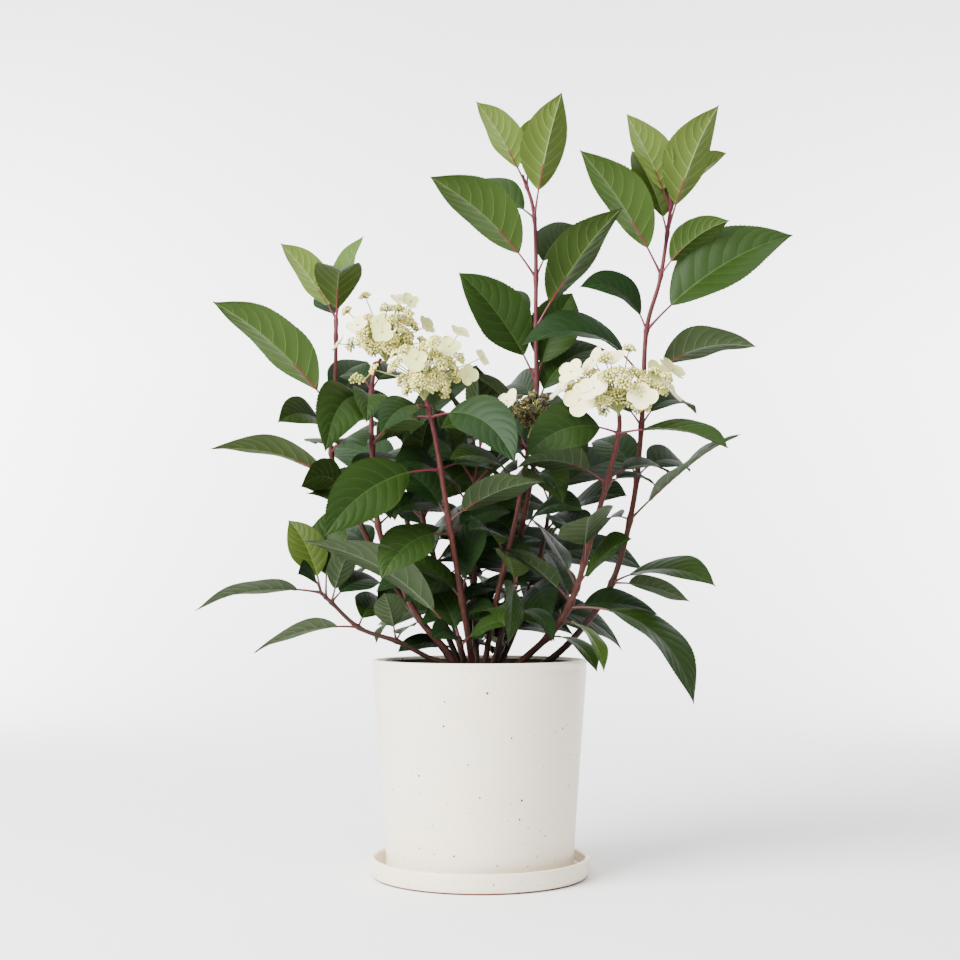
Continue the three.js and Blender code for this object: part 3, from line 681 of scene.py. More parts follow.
# ---------------------------------------------------------------- the shoots' lines and leaves
def line_point(points, t):
    """The smooth line through points, at places t of 0 to 1."""
    points = np.asarray(points, float)
    t = np.atleast_1d(np.asarray(t, float))
    padded = np.vstack([2 * points[0] - points[1], points, 2 * points[-1] - points[-2]])
    spans = len(points) - 1
    at = np.clip(t, 0, 1) * spans
    k = np.minimum(at.astype(int), spans - 1)
    w = (at - k)[:, None]
    p0, p1, p2, p3 = (padded[k + i] for i in range(4))
    start, end = (p2 - p0) / 2, (p3 - p1) / 2
    return (
        p1 + start * w + (3 * (p2 - p1) - 2 * start - end) * w**2 + (2 * (p1 - p2) + start + end) * w**3
    )


def place_at(points, height):
    low, high = 0.0, 1.0
    while high - low > 1e-6:
        middle = (low + high) / 2
        if line_point(points, middle)[0, 2] < height:
            low = middle
        else:
            high = middle
    return low


def outline(t):
    """Half width of a blade at t from base to tip: full sides and a short drawn-out tip."""
    t = np.clip(t, 0, 1)
    base = np.sin(math.pi / 2 * np.minimum(t / LEAF["widest"], 1)) ** 0.8
    rest = np.clip((t - LEAF["widest"]) / (1 - LEAF["widest"]), 0, 1)
    return np.where(t < LEAF["widest"], base, np.cos(math.pi / 2 * rest) ** 0.85 * (1 - 0.5 * rest**8))


class Leaf:
    """One leaf's bow, width and roll, by the same rule as the CAD."""

    def __init__(self, root, heading, rise, reach, arch, facing, key):
        h, r = math.radians(heading), math.radians(rise)
        aim = np.array((math.cos(h) * math.cos(r), math.sin(h) * math.cos(r), math.sin(r)))
        lift = unit(np.cross(aim, np.cross(UP, aim)))
        self.root, self.tip, self.lift = root, root + aim * reach, lift
        self.knee = (root + self.tip) / 2 + lift * reach * arch / 100
        self.stalk = LEAF["stalk"] * mix(0.8, 1.2, fraction(key))
        self.blade = reach * (1 - self.stalk)
        self.half = self.blade * LEAF["width"] * mix(0.92, 1.08, fraction(key + 0.5)) / 2
        self.facing, self.key = facing, key

    def centre(self, t):
        t = np.asarray(t, float)[..., None]
        return (1 - t) ** 2 * self.root + 2 * t * (1 - t) * self.knee + t**2 * self.tip

    def frame(self, t):
        """Along, across and upward directions at places t."""
        t = np.asarray(t, float)[..., None]
        along = unit((1 - t) * (self.knee - self.root) + t * (self.tip - self.knee))
        side = unit(np.cross(along, self.lift))
        sense = np.where(side[..., 1:2] < 0, 1, -1)
        roll = math.radians(self.facing) * sense * np.minimum(1, t / self.stalk)
        up = np.cross(side, along)
        return along, side * np.cos(roll) - up * np.sin(roll), up * np.cos(roll) + side * np.sin(roll)


def pairs_up(shoot, index):
    top = shoot["cane"][-1][2]
    first = mix(HIDDEN["first"], shoot["cane"][1][2], 0.5)
    rows = []
    for i in range(HIDDEN["pairs"]):
        t = i / (HIDDEN["pairs"] - 1)
        rise = mix(*HIDDEN["rise"], t * t)
        reach = mix(*HIDDEN["reach"], math.sin(math.pi * mix(*HIDDEN["longest"], t)))
        for side in (0, 1):
            key = index * 100 + i * 2 + side
            heading = 35 + index * 25 + i * 90 + side * 180 + mix(-16, 16, fraction(key))
            rows.append((
                mix(first, top - HIDDEN["top"], t), heading, rise + mix(-8, 8, fraction(key + 0.3)),
                reach * mix(0.9, 1.08, fraction(key + 0.6)), mix(12, 34, fraction(key + 0.8)),
                HIDDEN["facing"],
            ))
    return rows


def stands_in(tree, leaf):
    """True if the CAD node holds this very leaf: its tip and both margins at one station."""
    t = mix(leaf.stalk, 1, LEAF["station"])
    s = (LEAF["station"] - LEAF["widest"]) / (1 - LEAF["widest"])
    width = leaf.half * (1 - s) ** 0.62 * (1 - 0.18 * s) * math.cos(0.42 * s)
    _, across, normal = leaf.frame([t])
    rim = leaf.centre([t]) + normal * LEAF["fold"] * width
    corners = [leaf.tip, (rim + across * width)[0], (rim - across * width)[0]]
    return all(tree.find(p * MM)[2] < 0.6 * MM for p in corners)


def find_leaf(tree, root, row, key):
    for share in SHARES:
        for swing, tilt in SWINGS:
            _, heading, rise, reach, arch, facing = row
            leaf = Leaf(root, heading + swing, rise + tilt, reach * share, arch, facing, key)
            if stands_in(tree, leaf):
                return leaf
    return None


def sprigs(shoot, index):
    """Small leaves between the pairs of an inner shoot, one after another round it."""
    top = shoot["cane"][-1][2]
    for i in range(SPRIGS["count"]):
        key = index * 100 + 60 + i
        height = mix(shoot["cane"][0][2] + 34, 0.5 * (HIDDEN["first"] + top), i / (SPRIGS["count"] - 1))
        leaf = Leaf(
            line_point(shoot["cane"], place_at(shoot["cane"], height))[0],
            math.degrees(math.pi * (3 - math.sqrt(5))) * (i + index), mix(*SPRIGS["rise"], fraction(key)),
            mix(*SPRIGS["reach"], fraction(key + 0.3)), SPRIGS["arch"], SPRIGS["facing"], key,
        )
        # The darkest tone, with painted shade, for these small inner leaves.
        leaf.height, leaf.tone = height, "D"
        yield leaf


SHRUB = []  # the grown shoots, which main() fills before the operators run


def grow():
    """Every shoot with the leaves that its CAD node holds."""
    shoots = []
    for index, data in enumerate(SHOOTS):
        shoot = dict(data)
        shoot.setdefault("thick", HIDDEN["thick"])
        rows = shoot.get("leaves") or pairs_up(shoot, index)
        name = "leaves_" + shoot["name"]
        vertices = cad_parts[name].data.vertices
        tree = kdtree.KDTree(len(vertices))
        for i, v in enumerate(vertices):
            tree.insert(v.co, i)
        tree.balance()
        shoot["joints"] = sorted({row[0] for row in rows})
        shoot["leaves"] = []
        for number, row in enumerate(rows):
            root = line_point(shoot["cane"], place_at(shoot["cane"], row[0]))[0]
            leaf = find_leaf(tree, root, row, index * 100 + number)
            if leaf:
                letters = shoot.get("tones", HIDDEN["tones"])
                leaf.height, leaf.tone = row[0], letters[number % len(letters)]
                shoot["leaves"].append(leaf)
        if not shoot["leaves"]:
            raise RuntimeError(f"no leaf of {name} was found in the CAD")
        if "leaves" not in data:
            shoot["leaves"] += sprigs(shoot, index)
        shoots.append(shoot)
    return shoots


# ---------------------------------------------------------------- blades
VEINS = 8  # side veins each side of the midrib
ROWS_BETWEEN = 4  # rows of the blade between two side veins
COLUMNS = (0.0, 0.0, 0.28, 0.55, 0.8, 1.0)  # from midrib's middle and edge to the margin
VEIN_SWEEP = 2.2  # how far forward the side veins run before they meet the margin
RED_SHARE = 0.3  # of the blade's rows whose midrib is red underneath
RED_ABOVE = 380  # leaves below this height have no red in their midribs
FOLDS = (0.15, 0.36)  # rise of the margins over the midrib, low down and at the top of the shrub
FOLD_HEIGHTS = (380, 640)
UPPER, UPPER_VEIN, UNDER, UNDER_VEIN, MIDRIB = range(5)


def blade_rows():
    """Each row's place from base to tip, its side of a vein (-1, 1, or 0), and its part of a panel."""
    veins = [0.03 + 0.8 * (k / (VEINS - 1)) ** 1.05 for k in range(VEINS)]
    rows = [(0.012, 0, 0.5)]
    for k, vein in enumerate(veins):
        end = veins[k + 1] if k + 1 < VEINS else 0.995
        rows += [(vein, -1, 0.0), (vein, 1, 0.0)]
        for i in range(1, ROWS_BETWEEN + 1):
            t = i / (ROWS_BETWEEN + 1)
            rows.append((mix(vein, end, t), 0, math.sin(math.pi * t)))
    return np.array(rows)


class BladePattern:
    """Which corners make each face of a blade: base and tip, upper and under grids, and teeth."""

    def __init__(self):
        self.rows = blade_rows()
        self.wide = len(COLUMNS) - 1
        n, c = len(self.rows), self.wide
        self.under_start = 2 + n * (2 * c + 1)
        self.mid_start = self.under_start + n * (2 * c - 1)
        self.mids, self.corners, self.sizes, self.parts = [], [], [], []
        for row in range(-1, n):
            for column in range(-c, c):
                self.cell(row, column, n)
        self.count = self.mid_start + len(self.mids)

    def upper(self, row, column):
        return 2 + row * (2 * self.wide + 1) + column + self.wide

    def under(self, row, column):
        if abs(column) == self.wide:
            return self.upper(row, column)
        return self.under_start + row * (2 * self.wide - 1) + column + self.wide - 1

    def cell(self, row, column, n):
        """One cell between row and row + 1 on both faces; row -1 is the base and row n the tip."""
        vein = 0 <= row < n - 1 and self.rows[row, 1] == -1
        midrib = column in (-1, 0)
        edge = {-self.wide: -self.wide, self.wide - 1: self.wide}.get(column)
        middle = None
        if edge is not None and not vein:
            middle = self.mid_start + len(self.mids)
            self.mids.append((row, edge))
        for find, turn in ((self.upper, False), (self.under, True)):
            low = [0, 0] if row < 0 else [find(row, column), find(row, column + 1)]
            high = [1, 1] if row + 1 >= n else [find(row + 1, column + 1), find(row + 1, column)]
            face = low + high
            if middle is not None:
                face.insert(4 if edge < 0 else 2, middle)
            face = list(dict.fromkeys(face))
            part = (UNDER_VEIN if vein else UNDER) if turn else (UPPER_VEIN if vein else UPPER)
            if midrib:
                part = (MIDRIB if row < RED_SHARE * n else UNDER_VEIN) if turn else UPPER_VEIN
            self.corners += face[::-1] if turn else face
            self.sizes.append(len(face))
            self.parts.append(part)


def blade_points(pattern, leaf, look):
    """The blade's points: folded at the midrib, quilted between its veins, waved and toothed."""
    rows, wide = pattern.rows, pattern.wide
    columns = np.arange(-wide, wide + 1)
    sign = np.sign(columns)
    v = np.array(COLUMNS)[np.abs(columns)]
    half_vein = look.vein_width / MM / 2 / leaf.blade
    sigma = rows[:, :1] + rows[:, 1:2] * half_vein * (1 - 0.65 * v)
    s = np.clip(sigma + (1 - (1 - sigma) ** VEIN_SWEEP - sigma) * v**1.3, 0, 0.9995)
    width = leaf.half * outline(s)
    rib = np.minimum(0.4 * width, mix(1.1, 0.35, s) * leaf.blade / 120)
    x = sign * (rib + (width - rib) * v)
    x[:, wide] = 0
    u = np.abs(x) / np.maximum(width, 1e-6)
    key = leaf.key
    quilt = look.quilting * leaf.blade * rows[:, 2:3] * np.sin(math.pi * u**0.9)
    wave = 0.014 * leaf.blade * u**2 * np.sin(
        2 * math.pi * (mix(1.1, 1.9, fraction(key + 0.11)) * s + fraction(key + 0.21) + 0.31 * (sign > 0))
    ) * np.sin(math.pi * s) ** 0.5
    droop = -leaf.blade * mix(0.02, 0.25, fraction(key + 0.37)) * np.maximum(0, s - 0.55) ** 2
    low, high = FOLD_HEIGHTS
    aloft = min(1, max(0, (leaf.height - low) / (high - low)))
    fold = mix(*FOLDS, aloft) * mix(0.8, 1.2, fraction(key + 0.83))
    height = fold * width * (1.4 * u - 0.4 * u**2) + quilt + wave + droop
    t = mix(leaf.stalk, 1, s)
    along, across, normal = leaf.frame(t)
    top = leaf.centre(t) + across * x[..., None] + normal * height[..., None]
    thick = look.leaf_thickness / MM + 0.35 * (rows[:, 1:2] != 0) * (1 - u)
    thick = thick + np.where(np.abs(columns) == 0, 0.9, np.where(np.abs(columns) == 1, 0.35, 0)) * rib
    bottom = top - normal * thick[..., None]
    base_top, middles = top.copy(), []
    for edge in (-wide, wide):
        k = edge + wide
        line = top[:, k]
        ahead = np.diff(np.vstack([line, leaf.tip[None]]), axis=0)
        gap = np.linalg.norm(ahead, axis=1, keepdims=True)
        size = np.minimum(look.tooth * gap, 1.4)
        base_top[:, k] = line + (across[:, k] * np.sign(edge) * 0.8 + along[:, k] * 0.75) * size
    starts = leaf.centre(np.array(leaf.stalk))
    end = leaf.centre(np.array(1.0)) + normal[-1, wide] * height[-1, wide]
    for row, edge in pattern.mids:
        k = edge + wide
        a = starts if row < 0 else top[row, k]
        b = end if row + 1 >= len(rows) else top[row + 1, k]
        middles.append((a + b) / 2)
    return np.concatenate([
        [starts, end], base_top.reshape(-1, 3), bottom[:, 1:-1].reshape(-1, 3), middles,
    ])


def leaf_materials():
    """Slots in the order of TONES, four to a tone, then the red midrib."""
    made = []
    for tone, colours in TONES.items():
        for (name, finish), colour in zip(LEAF_FINISH.items(), colours):
            made.append(leaf_tissue(f"{tone} leaf {name}", colour, *finish))
    made.append(leaf_tissue("red midrib", RED_MIDRIB, *MIDRIB_FINISH))
    return made


# ---------------------------------------------------------------- flower heads
def on_head(head, direction, share):
    return np.array(head["centre"]) + direction * share * np.array((head["wide"], head["wide"], head["high"]))


def lumpy(head, direction):
    """How far the small flowers reach in a direction, as a share of the head."""
    phases = (head["turn"], *BUDS["phase"])
    bump = math.prod(math.sin(BUDS["waves"] * direction[k] + phases[k]) for k in range(3))
    return BUDS["share"] * (1 + BUDS["lump"] * bump)


def spread_directions(count, lowest):
    """Directions spread evenly over a ball, down to a lowest rise."""
    for i in range(count):
        z = mix(1.0, lowest, (i + 0.5) / count)
        angle = i * math.pi * (3 - math.sqrt(5))
        r = math.sqrt(max(0, 1 - z * z))
        yield np.array((r * math.cos(angle), r * math.sin(angle), z))


def petal_grid(length, cup, ruffle, phase):
    """A round petal on a narrow claw, from the claw outwards, as rows of points in its own frame."""
    disc = PETAL["disc"]
    middle = 1 - disc  # where the round part is widest
    b = np.concatenate([
        np.linspace(0.02, middle, 5), middle + disc * np.sin(np.linspace(0, math.pi / 2, 7)[1:]) * 0.998,
    ])
    claw = np.sin(math.pi / 2 * np.minimum(b / middle, 1)) ** PETAL["claw"]
    end = np.sqrt(1 - (np.maximum(b - middle, 0) / disc) ** 2)
    half = (length * PETAL["half"] * claw * end)[:, None]
    a = np.linspace(-1, 1, 9)[None, :]
    b = b[:, None]
    z = cup * length * (b**2 * 0.5 + 0.35 * a**2 * b) + ruffle * np.sin(3 * a + phase) * b**2
    return np.stack([a * half, length * b + 0 * a, z], axis=-1)


def frame_facing(facing):
    side = unit(np.cross(facing, BACKWARD))
    return side, np.cross(facing, side)


def add_petal(petals, centre, out, facing, grid, slot):
    """One petal as a thin closed sheet that reaches outwards from the floret's centre."""
    over = np.cross(out, facing)
    top = centre + grid[..., :1] * over + grid[..., 1:2] * out + grid[..., 2:] * facing
    loop = np.concatenate([top, (top - 0.3 * facing)[:, ::-1]], axis=1)
    corners, sizes = grid_faces(*loop.shape[:2], closed=True)
    start = (loop.shape[0] - 1) * loop.shape[1]
    caps = list(range(loop.shape[1]))[::-1] + [start + k for k in range(loop.shape[1])]
    petals.add(
        loop.reshape(-1, 3), np.concatenate([corners, caps]),
        np.concatenate([sizes, [loop.shape[1]] * 2]), slot,
    )


def add_floret(petals, centre, facing, radius, turn, slot):
    """Four overlapping petals round the floret's centre."""
    side, other = frame_facing(facing)
    for k in range(4):
        cup = mix(0.1, 0.3, fraction(turn + k))
        grid = petal_grid(radius * mix(0.9, 1.1, fraction(turn * 3 + k)), cup, 0.5, turn * 9 + k)
        grid[..., 2] += 0.4 * (k % 2)
        angle = turn + math.pi / 2 * (k + 0.5) + 0.2 * (fraction(turn * 5 + k) - 0.5)
        add_petal(petals, centre, side * math.cos(angle) + other * math.sin(angle), facing, grid, slot)


# ---------------------------------------------------------------- settings
def size_of(name, description, millimetres):
    return bpy.props.FloatProperty(
        name=name, description=description, default=millimetres * MM, unit="LENGTH", subtype="DISTANCE"
    )


def colour_of(name, description, code):
    return bpy.props.FloatVectorProperty(
        name=name, description=description, default=linear(code), size=4, subtype="COLOR", min=0, max=1
    )


def share_of(name, description, value):
    return bpy.props.FloatProperty(name=name, description=description, default=value, subtype="FACTOR")


class PotterySettings(bpy.types.PropertyGroup):
    """Sizes and colours of the planter and saucer."""

    pot_height: size_of("Pot height", "Height of the rim above the ground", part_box("planter")[1].z / MM)
    pot_base: size_of("Pot base", "Height of the pot's underside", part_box("planter")[0].z / MM)
    pot_rim: size_of("Rim radius", "Outer radius at the rim", 120)
    pot_waist: size_of("Waist radius", "Outer radius half way up", 111)
    pot_foot: size_of("Foot radius", "Outer radius at the foot", 102.5)
    pot_wall: size_of("Wall", "Thickness of the pot's wall", 5.5)
    saucer_radius: size_of("Saucer radius", "Outer radius of the saucer's lip", 121)
    saucer_height: size_of("Saucer height", "Height of the saucer's lip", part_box("saucer")[1].z / MM)
    soil_top: size_of("Soil", "Height of the soil's surface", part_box("soil")[1].z / MM)
    glaze: colour_of("Glaze", "Main colour of the glaze", "#EAE0CD")
    glaze_warm: colour_of("Warm glaze", "Colour where the glaze is thinner", "#DFD2BA")
    speck: colour_of("Specks", "Colour of the iron specks", "#33261E")
    bare_clay: colour_of("Bare clay", "Colour of the unglazed foot", "#5E3022")
    # The bare clay inside the planter, darkened with painted shade.
    inner_clay_painted_shade: colour_of("Inner clay with painted shade", "Unglazed clay inside the planter", "#3B362D")


class ShrubSettings(bpy.types.PropertyGroup):
    """Sizes of the leaves and colours of the bark."""

    vein_width: size_of("Vein width", "Width of a side vein at the midrib", 0.75)
    leaf_thickness: size_of("Leaf thickness", "Thickness of a blade", 0.4)
    quilting: share_of("Quilting", "Rise between the veins, of the blade's length", 0.006)
    tooth: share_of("Teeth", "Size of the margin's teeth, of the space between them", 0.34)
    old_bark_below: size_of("Old bark", "Height below which the bark is old", 260)
    young_bark_above: size_of("Young bark", "Height above which the bark is young", 820)
    redder: size_of("Flowering canes", "How much lower down flowering canes turn red", 90)
    bark_old: colour_of("Old bark", "Bark at the foot", "#1E1610")
    bark_low: colour_of("Low bark", "Bark a little above the pot", "#361D18")
    bark_middle: colour_of("Middle bark", "Bark half way up", "#48241A")
    bark_young: colour_of("Young bark", "Bark at the tips", "#56232C")
    stalk_red: colour_of("Red stalks", "Leaf stalks of the upper leaves", "#5C1A2A")
    stalk_brown: colour_of("Brown stalks", "Leaf stalks lower down", "#4A2620")


class BlossomSettings(bpy.types.PropertyGroup):
    """Sizes and colours of the flower heads."""

    bud: size_of("Bud", "Radius of a small flower bud", 1.5)
    clusters: bpy.props.IntProperty(name="Clusters", description="Clusters of buds on a head", default=66)
    seed_clusters: bpy.props.IntProperty(
        name="Seed clusters", description="Clusters of seed capsules on the old head", default=30
    )
    buds_each: bpy.props.IntProperty(name="Buds", description="Small buds in a cluster", default=30)
    cream: colour_of("Petals", "Open petals", "#EDE4AE")
    ivory: colour_of("Pale petals", "The palest petals", "#E9DFB6")
    lime: colour_of("Young petals", "Petals that are still greenish", "#C9CB82")
    bud_cream: colour_of("Buds", "Small buds", "#E6DB84")
    bud_green: colour_of("Green buds", "Small buds that are still green", "#B2B45A")
    stalk_green: colour_of("Flower stalks", "Branches of the head", "#7F8448")
    capsule: colour_of("Seed capsules", "Brown capsules of the old head", "#2E250C")
    # Paler capsules, partly a painted highlight on the old head.
    pale_capsule_painted_highlight: colour_of("Paler capsules with painted highlight", "The paler of the capsules", "#6E621E")


class StudioSettings(bpy.types.PropertyGroup):
    """The camera, lights and paper sweep."""

    camera_back: size_of("Camera distance", "Camera's distance from the planter's axis", 1682)
    camera_height: size_of("Camera height", "Camera's height above the floor", 305)
    camera_tilt: bpy.props.FloatProperty(
        name="Camera tilt", description="How far the camera looks up", default=math.radians(4.52),
        unit="ROTATION", subtype="ANGLE",
    )
    lens: bpy.props.FloatProperty(name="Lens", description="Focal length in mm", default=56.0)
    key_power: bpy.props.FloatProperty(name="Key", description="Power of the window light", default=435.0)
    fill_power: bpy.props.FloatProperty(name="Fill", description="Power of the fill light", default=4.0)
    overhead_power: bpy.props.FloatProperty(
        name="Overhead", description="Power of the soft light above", default=45.0,
    )
    backdrop_power: bpy.props.FloatProperty(
        name="Backdrop lights", description="Power of each of the two lights on the backdrop", default=195.0,
    )
    sky: bpy.props.FloatProperty(name="Room light", description="Strength of the room's light", default=1.05)
    paper: colour_of("Paper", "Colour of floor and backdrop", "#F4F4F4")


# ---------------------------------------------------------------- the pieces
class Piece:
    """What every operator here shares."""

    bl_options = {"REGISTER", "UNDO"}


class HYDRANGEA_OT_planter(Piece, bpy.types.Operator):
    """Throws the planter: gently swelling wall and rounded lip, glazed outside and bare inside, where painted
    shade darkens the clay
    """

    bl_idname = "hydrangea.planter"
    bl_label = "Planter"

    def execute(self, context):
        look = context.scene.hydrangea_pottery
        base, top = look.pot_base / MM, look.pot_height / MM
        widths = (look.pot_rim, look.pot_waist, look.pot_foot, look.pot_wall)
        rim, waist, foot, wall = (x / MM for x in widths)

        def radius(z):
            t = (z - base) / (top - base)
            bend = 2 * (foot + rim) - 4 * waist
            return foot + (rim - foot - bend) * t + bend * t * t

        def hollow(z):
            """The shallow hollow that the thumb leaves under the lip."""
            return POT["hollow"] * math.exp(-(((top - POT["collar"] - z) / POT["thumb"]) ** 2))

        lip, floor, edge = wall / 2 - 0.05, base + POT["floor"], POT["edge"]
        levels = np.linspace(floor, top - lip - 1, POT["levels"])
        profile = [(0, base), (foot - 5, base)] + arc(foot - edge, base + edge, edge, -90, -12, 6)
        profile += [(radius(z) - hollow(z), z) for z in levels]
        profile += arc(rim - lip - 0.1, top - lip, lip, 0, 180, 12)
        # The glaze rolls over the lip and stops a little below it.
        inside = len(profile)
        profile += [(radius(z) - wall, z) for z in levels[::-1]]
        profile += [(radius(floor) - wall - 6, floor), (0, floor)]
        made = Gathered()
        points, corners, sizes = turned(profile)
        # Faces inside the planter take slot 1: bare clay darkened with painted shade.
        slots = np.where(np.arange(len(sizes)) < STEPS_ROUND * inside, 0, 1)
        made.add(points, corners, sizes, slots)
        finishes = [glazed_stoneware(look), bare_stoneware("inner stoneware with painted shade", look.inner_clay_painted_shade)]
        made.build("planter_glazed", finishes, "stoneware", ["planter"])
        return {"FINISHED"}


class HYDRANGEA_OT_saucer(Piece, bpy.types.Operator):
    """Throws the saucer: a low dish with a rounded lip and a thin unglazed line at its foot"""

    bl_idname = "hydrangea.saucer"
    bl_label = "Saucer"

    def execute(self, context):
        look = context.scene.hydrangea_pottery
        radius, height = look.saucer_radius / MM, look.saucer_height / MM
        bare = [(0, 0), (radius - 4.6, 0), (radius - 3.4, 0.5), (radius - 2.6, 1.9)]
        glazed = [bare[-1], (radius - 1.6, 3.2), (radius - 0.7, 6), (radius - 0.15, 10)]
        glazed += [(radius, 14)] + arc(radius - 2.5, height - 2.5, 2.5, 0, 180, 12)
        glazed += [(radius - 5.6, 13)] + arc(radius - 10, 10.2, 4.2, 0, -90, 6)[1:] + [(0, 6)]
        made = Gathered()
        points, corners, sizes = turned(bare + glazed[1:])
        slots = np.where(np.arange(len(sizes)) < STEPS_ROUND * (len(bare) - 1), 1, 0)
        made.add(points, corners, sizes, slots)
        finishes = [glazed_stoneware(look), bare_stoneware("wiped stoneware", look.bare_clay)]
        made.build("saucer_glazed", finishes, "stoneware", ["saucer"])
        return {"FINISHED"}


class HYDRANGEA_OT_soil(Piece, bpy.types.Operator):
    """Fills the planter with potting mix: a rough surface with loose crumbs on it"""

    bl_idname = "hydrangea.soil"
    bl_label = "Soil"

    def execute(self, context):
        look = context.scene.hydrangea_pottery
        top, edge = look.soil_top / MM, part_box("soil")[1].x / MM
        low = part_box("soil")[0].z / MM
        rings, steps = 34, 96
        r, a = around(np.linspace(edge, 1, rings), steps)
        x, y = r * np.cos(a), r * np.sin(a)
        rough = np.sin(x * 0.31 + 1) * np.sin(y * 0.27 + 2) + 0.6 * np.sin(x * 0.83 + y * 0.61)
        rough += 0.5 * np.sin(x * 1.7 + 3) * np.sin(y * 1.9 + 1)
        z = top - 2.2 + 0.9 * rough - 2.5 * (r / edge) ** 6
        made = Gathered()
        skin = np.stack([x, y, z], -1)
        wall = skin[:1] * (0.84, 0.84, 0) + (0, 0, low)
        corners, sizes = grid_faces(rings + 1, steps, closed=True)
        ends = list(range(steps))[::-1] + [rings * steps + k for k in range(steps)]
        made.add(np.concatenate([wall, skin]), np.concatenate([corners, ends]),
                 np.concatenate([sizes, [steps, steps]]), 0)
        seeded = np.random.default_rng(7)
        shape, corners, sizes = ball(1)
        for _ in range(500):
            angle, reach = seeded.uniform(0, 2 * math.pi), edge * math.sqrt(seeded.uniform(0.08, 0.93))
            size = seeded.uniform(0.8, 2.6) * seeded.uniform(0.5, 1.3, 3)
            at = np.array((reach * math.cos(angle), reach * math.sin(angle), top - 1.6))
            made.add(shape * size + at, corners, sizes, 0)
        made.build("potting_mix", [potting_mix()], "potting_soil", ["soil"])
        return {"FINISHED"}


class HYDRANGEA_OT_woody_foot(Piece, bpy.types.Operator):
    """Grows the knobbly woody foot that all canes rise from"""

    bl_idname = "hydrangea.woody_foot"
    bl_label = "Woody foot"

    def execute(self, context):
        low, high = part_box("woody_foot")
        radius, base, height = high.x / MM, low.z / MM, (high.z - low.z) / MM
        rings, steps = 16, 48
        e, a = around(np.linspace(0, math.pi / 2 * 0.96, rings), steps)
        knobs = 0.5 + 0.25 * np.sin(5 * a + 3 * e) * np.sin(4 * e + 1)
        knobs = knobs + 0.25 * np.sin(9 * a + 1) * np.cos(3 * e)
        r = radius * np.cos(e) * mix(0.86, 1.0, knobs)
        z = base - 4 + (height + 4) * np.sin(e) * mix(0.86, 1.0, knobs)
        skin = np.stack([r * np.cos(a), r * np.sin(a), z], -1).reshape(-1, 3)
        corners, sizes = grid_faces(rings, steps, closed=True)
        ends = list(range(steps))[::-1] + [(rings - 1) * steps + k for k in range(steps)]
        made = Gathered()
        made.add(skin, np.concatenate([corners, ends]), np.concatenate([sizes, [steps, steps]]), 0)
        look = context.scene.hydrangea_shrub
        bark = cane_bark("old bark", look, look.old_bark_below, look.young_bark_above)
        made.build("woody_crown", [bark], "bark", ["woody_foot"])
        return {"FINISHED"}


class HYDRANGEA_OT_canes(Piece, bpy.types.Operator):
    """Grows every shoot's cane from foot to tip, swollen at its leaf joints, with bark relief"""

    bl_idname = "hydrangea.canes"
    bl_label = "Canes"

    def execute(self, context):
        made = Gathered()
        for index, shoot in enumerate(SHRUB):
            cane = np.asarray(shoot["cane"], float)
            length = np.linalg.norm(np.diff(line_point(cane, np.linspace(0, 1, 60)), axis=0), axis=1).sum()
            t = np.linspace(0, 1, int(length / 2.6))
            points = line_point(cane, t)
            radii = mix(*shoot["thick"], t) * 0.97
            for height in shoot["joints"]:
                away = (t - place_at(cane, height)) * length
                swollen = 1 + JOINT["swell"] * np.exp(-((away / JOINT["reach"]) ** 2))
                radii = radii * swollen + JOINT["scar"] * np.exp(-((away / JOINT["scar_reach"]) ** 2))
            radii = radii * np.where(t > 0.985, 0.8, 1.0)
            old = np.clip((FLAKES["end"] - points[:, 2]) / FLAKES["over"], FLAKES["least"], 1)[:, None]

            def relief(angle):
                along = np.arange(len(t))[:, None]
                ridges = np.sin(5 * angle + 0.05 * along + index) + 0.6 * np.sin(9 * angle - 0.11 * along)
                flakes = np.sin(0.9 * along + 3 * np.sin(4 * angle + index))
                flakes = flakes * np.sin(0.37 * along + 2 * angle)
                return 1 + old * (0.03 * ridges + 0.035 * flakes)

            made.add(*tube(points, radii, sides=14, relief=relief), 1 if shoot.get("head") else 0)
        look = context.scene.hydrangea_shrub
        low, high = look.old_bark_below, look.young_bark_above
        barks = [
            cane_bark("leafy cane bark", look, low, high),
            cane_bark("flowering cane bark", look, low - look.redder, high - look.redder),
        ]
        made.build("canes", barks, "bark", ["cane_" + shoot["name"] for shoot in SHRUB])
        return {"FINISHED"}


class HYDRANGEA_OT_leaves(Piece, bpy.types.Operator):
    """Opens the leaves of every shoot, toothed, folded and veined, one piece to a shoot"""

    bl_idname = "hydrangea.leaves"
    bl_label = "Leaves"

    def execute(self, context):
        look = context.scene.hydrangea_shrub
        pattern, materials = BladePattern(), leaf_materials()
        parts, tones = np.array(pattern.parts), [name[0].upper() for name in TONES]
        for shoot in SHRUB:
            made = Gathered()
            for leaf in shoot["leaves"]:
                tone = 4 * tones.index(leaf.tone)
                slots = tone + parts
                slots[parts == MIDRIB] = 4 * len(tones) if leaf.height > RED_ABOVE else tone + UNDER_VEIN
                made.add(blade_points(pattern, leaf, look), pattern.corners, pattern.sizes, slots)
            made.build("foliage_" + shoot["name"], materials, "foliage", ["leaves_" + shoot["name"]])
        return {"FINISHED"}


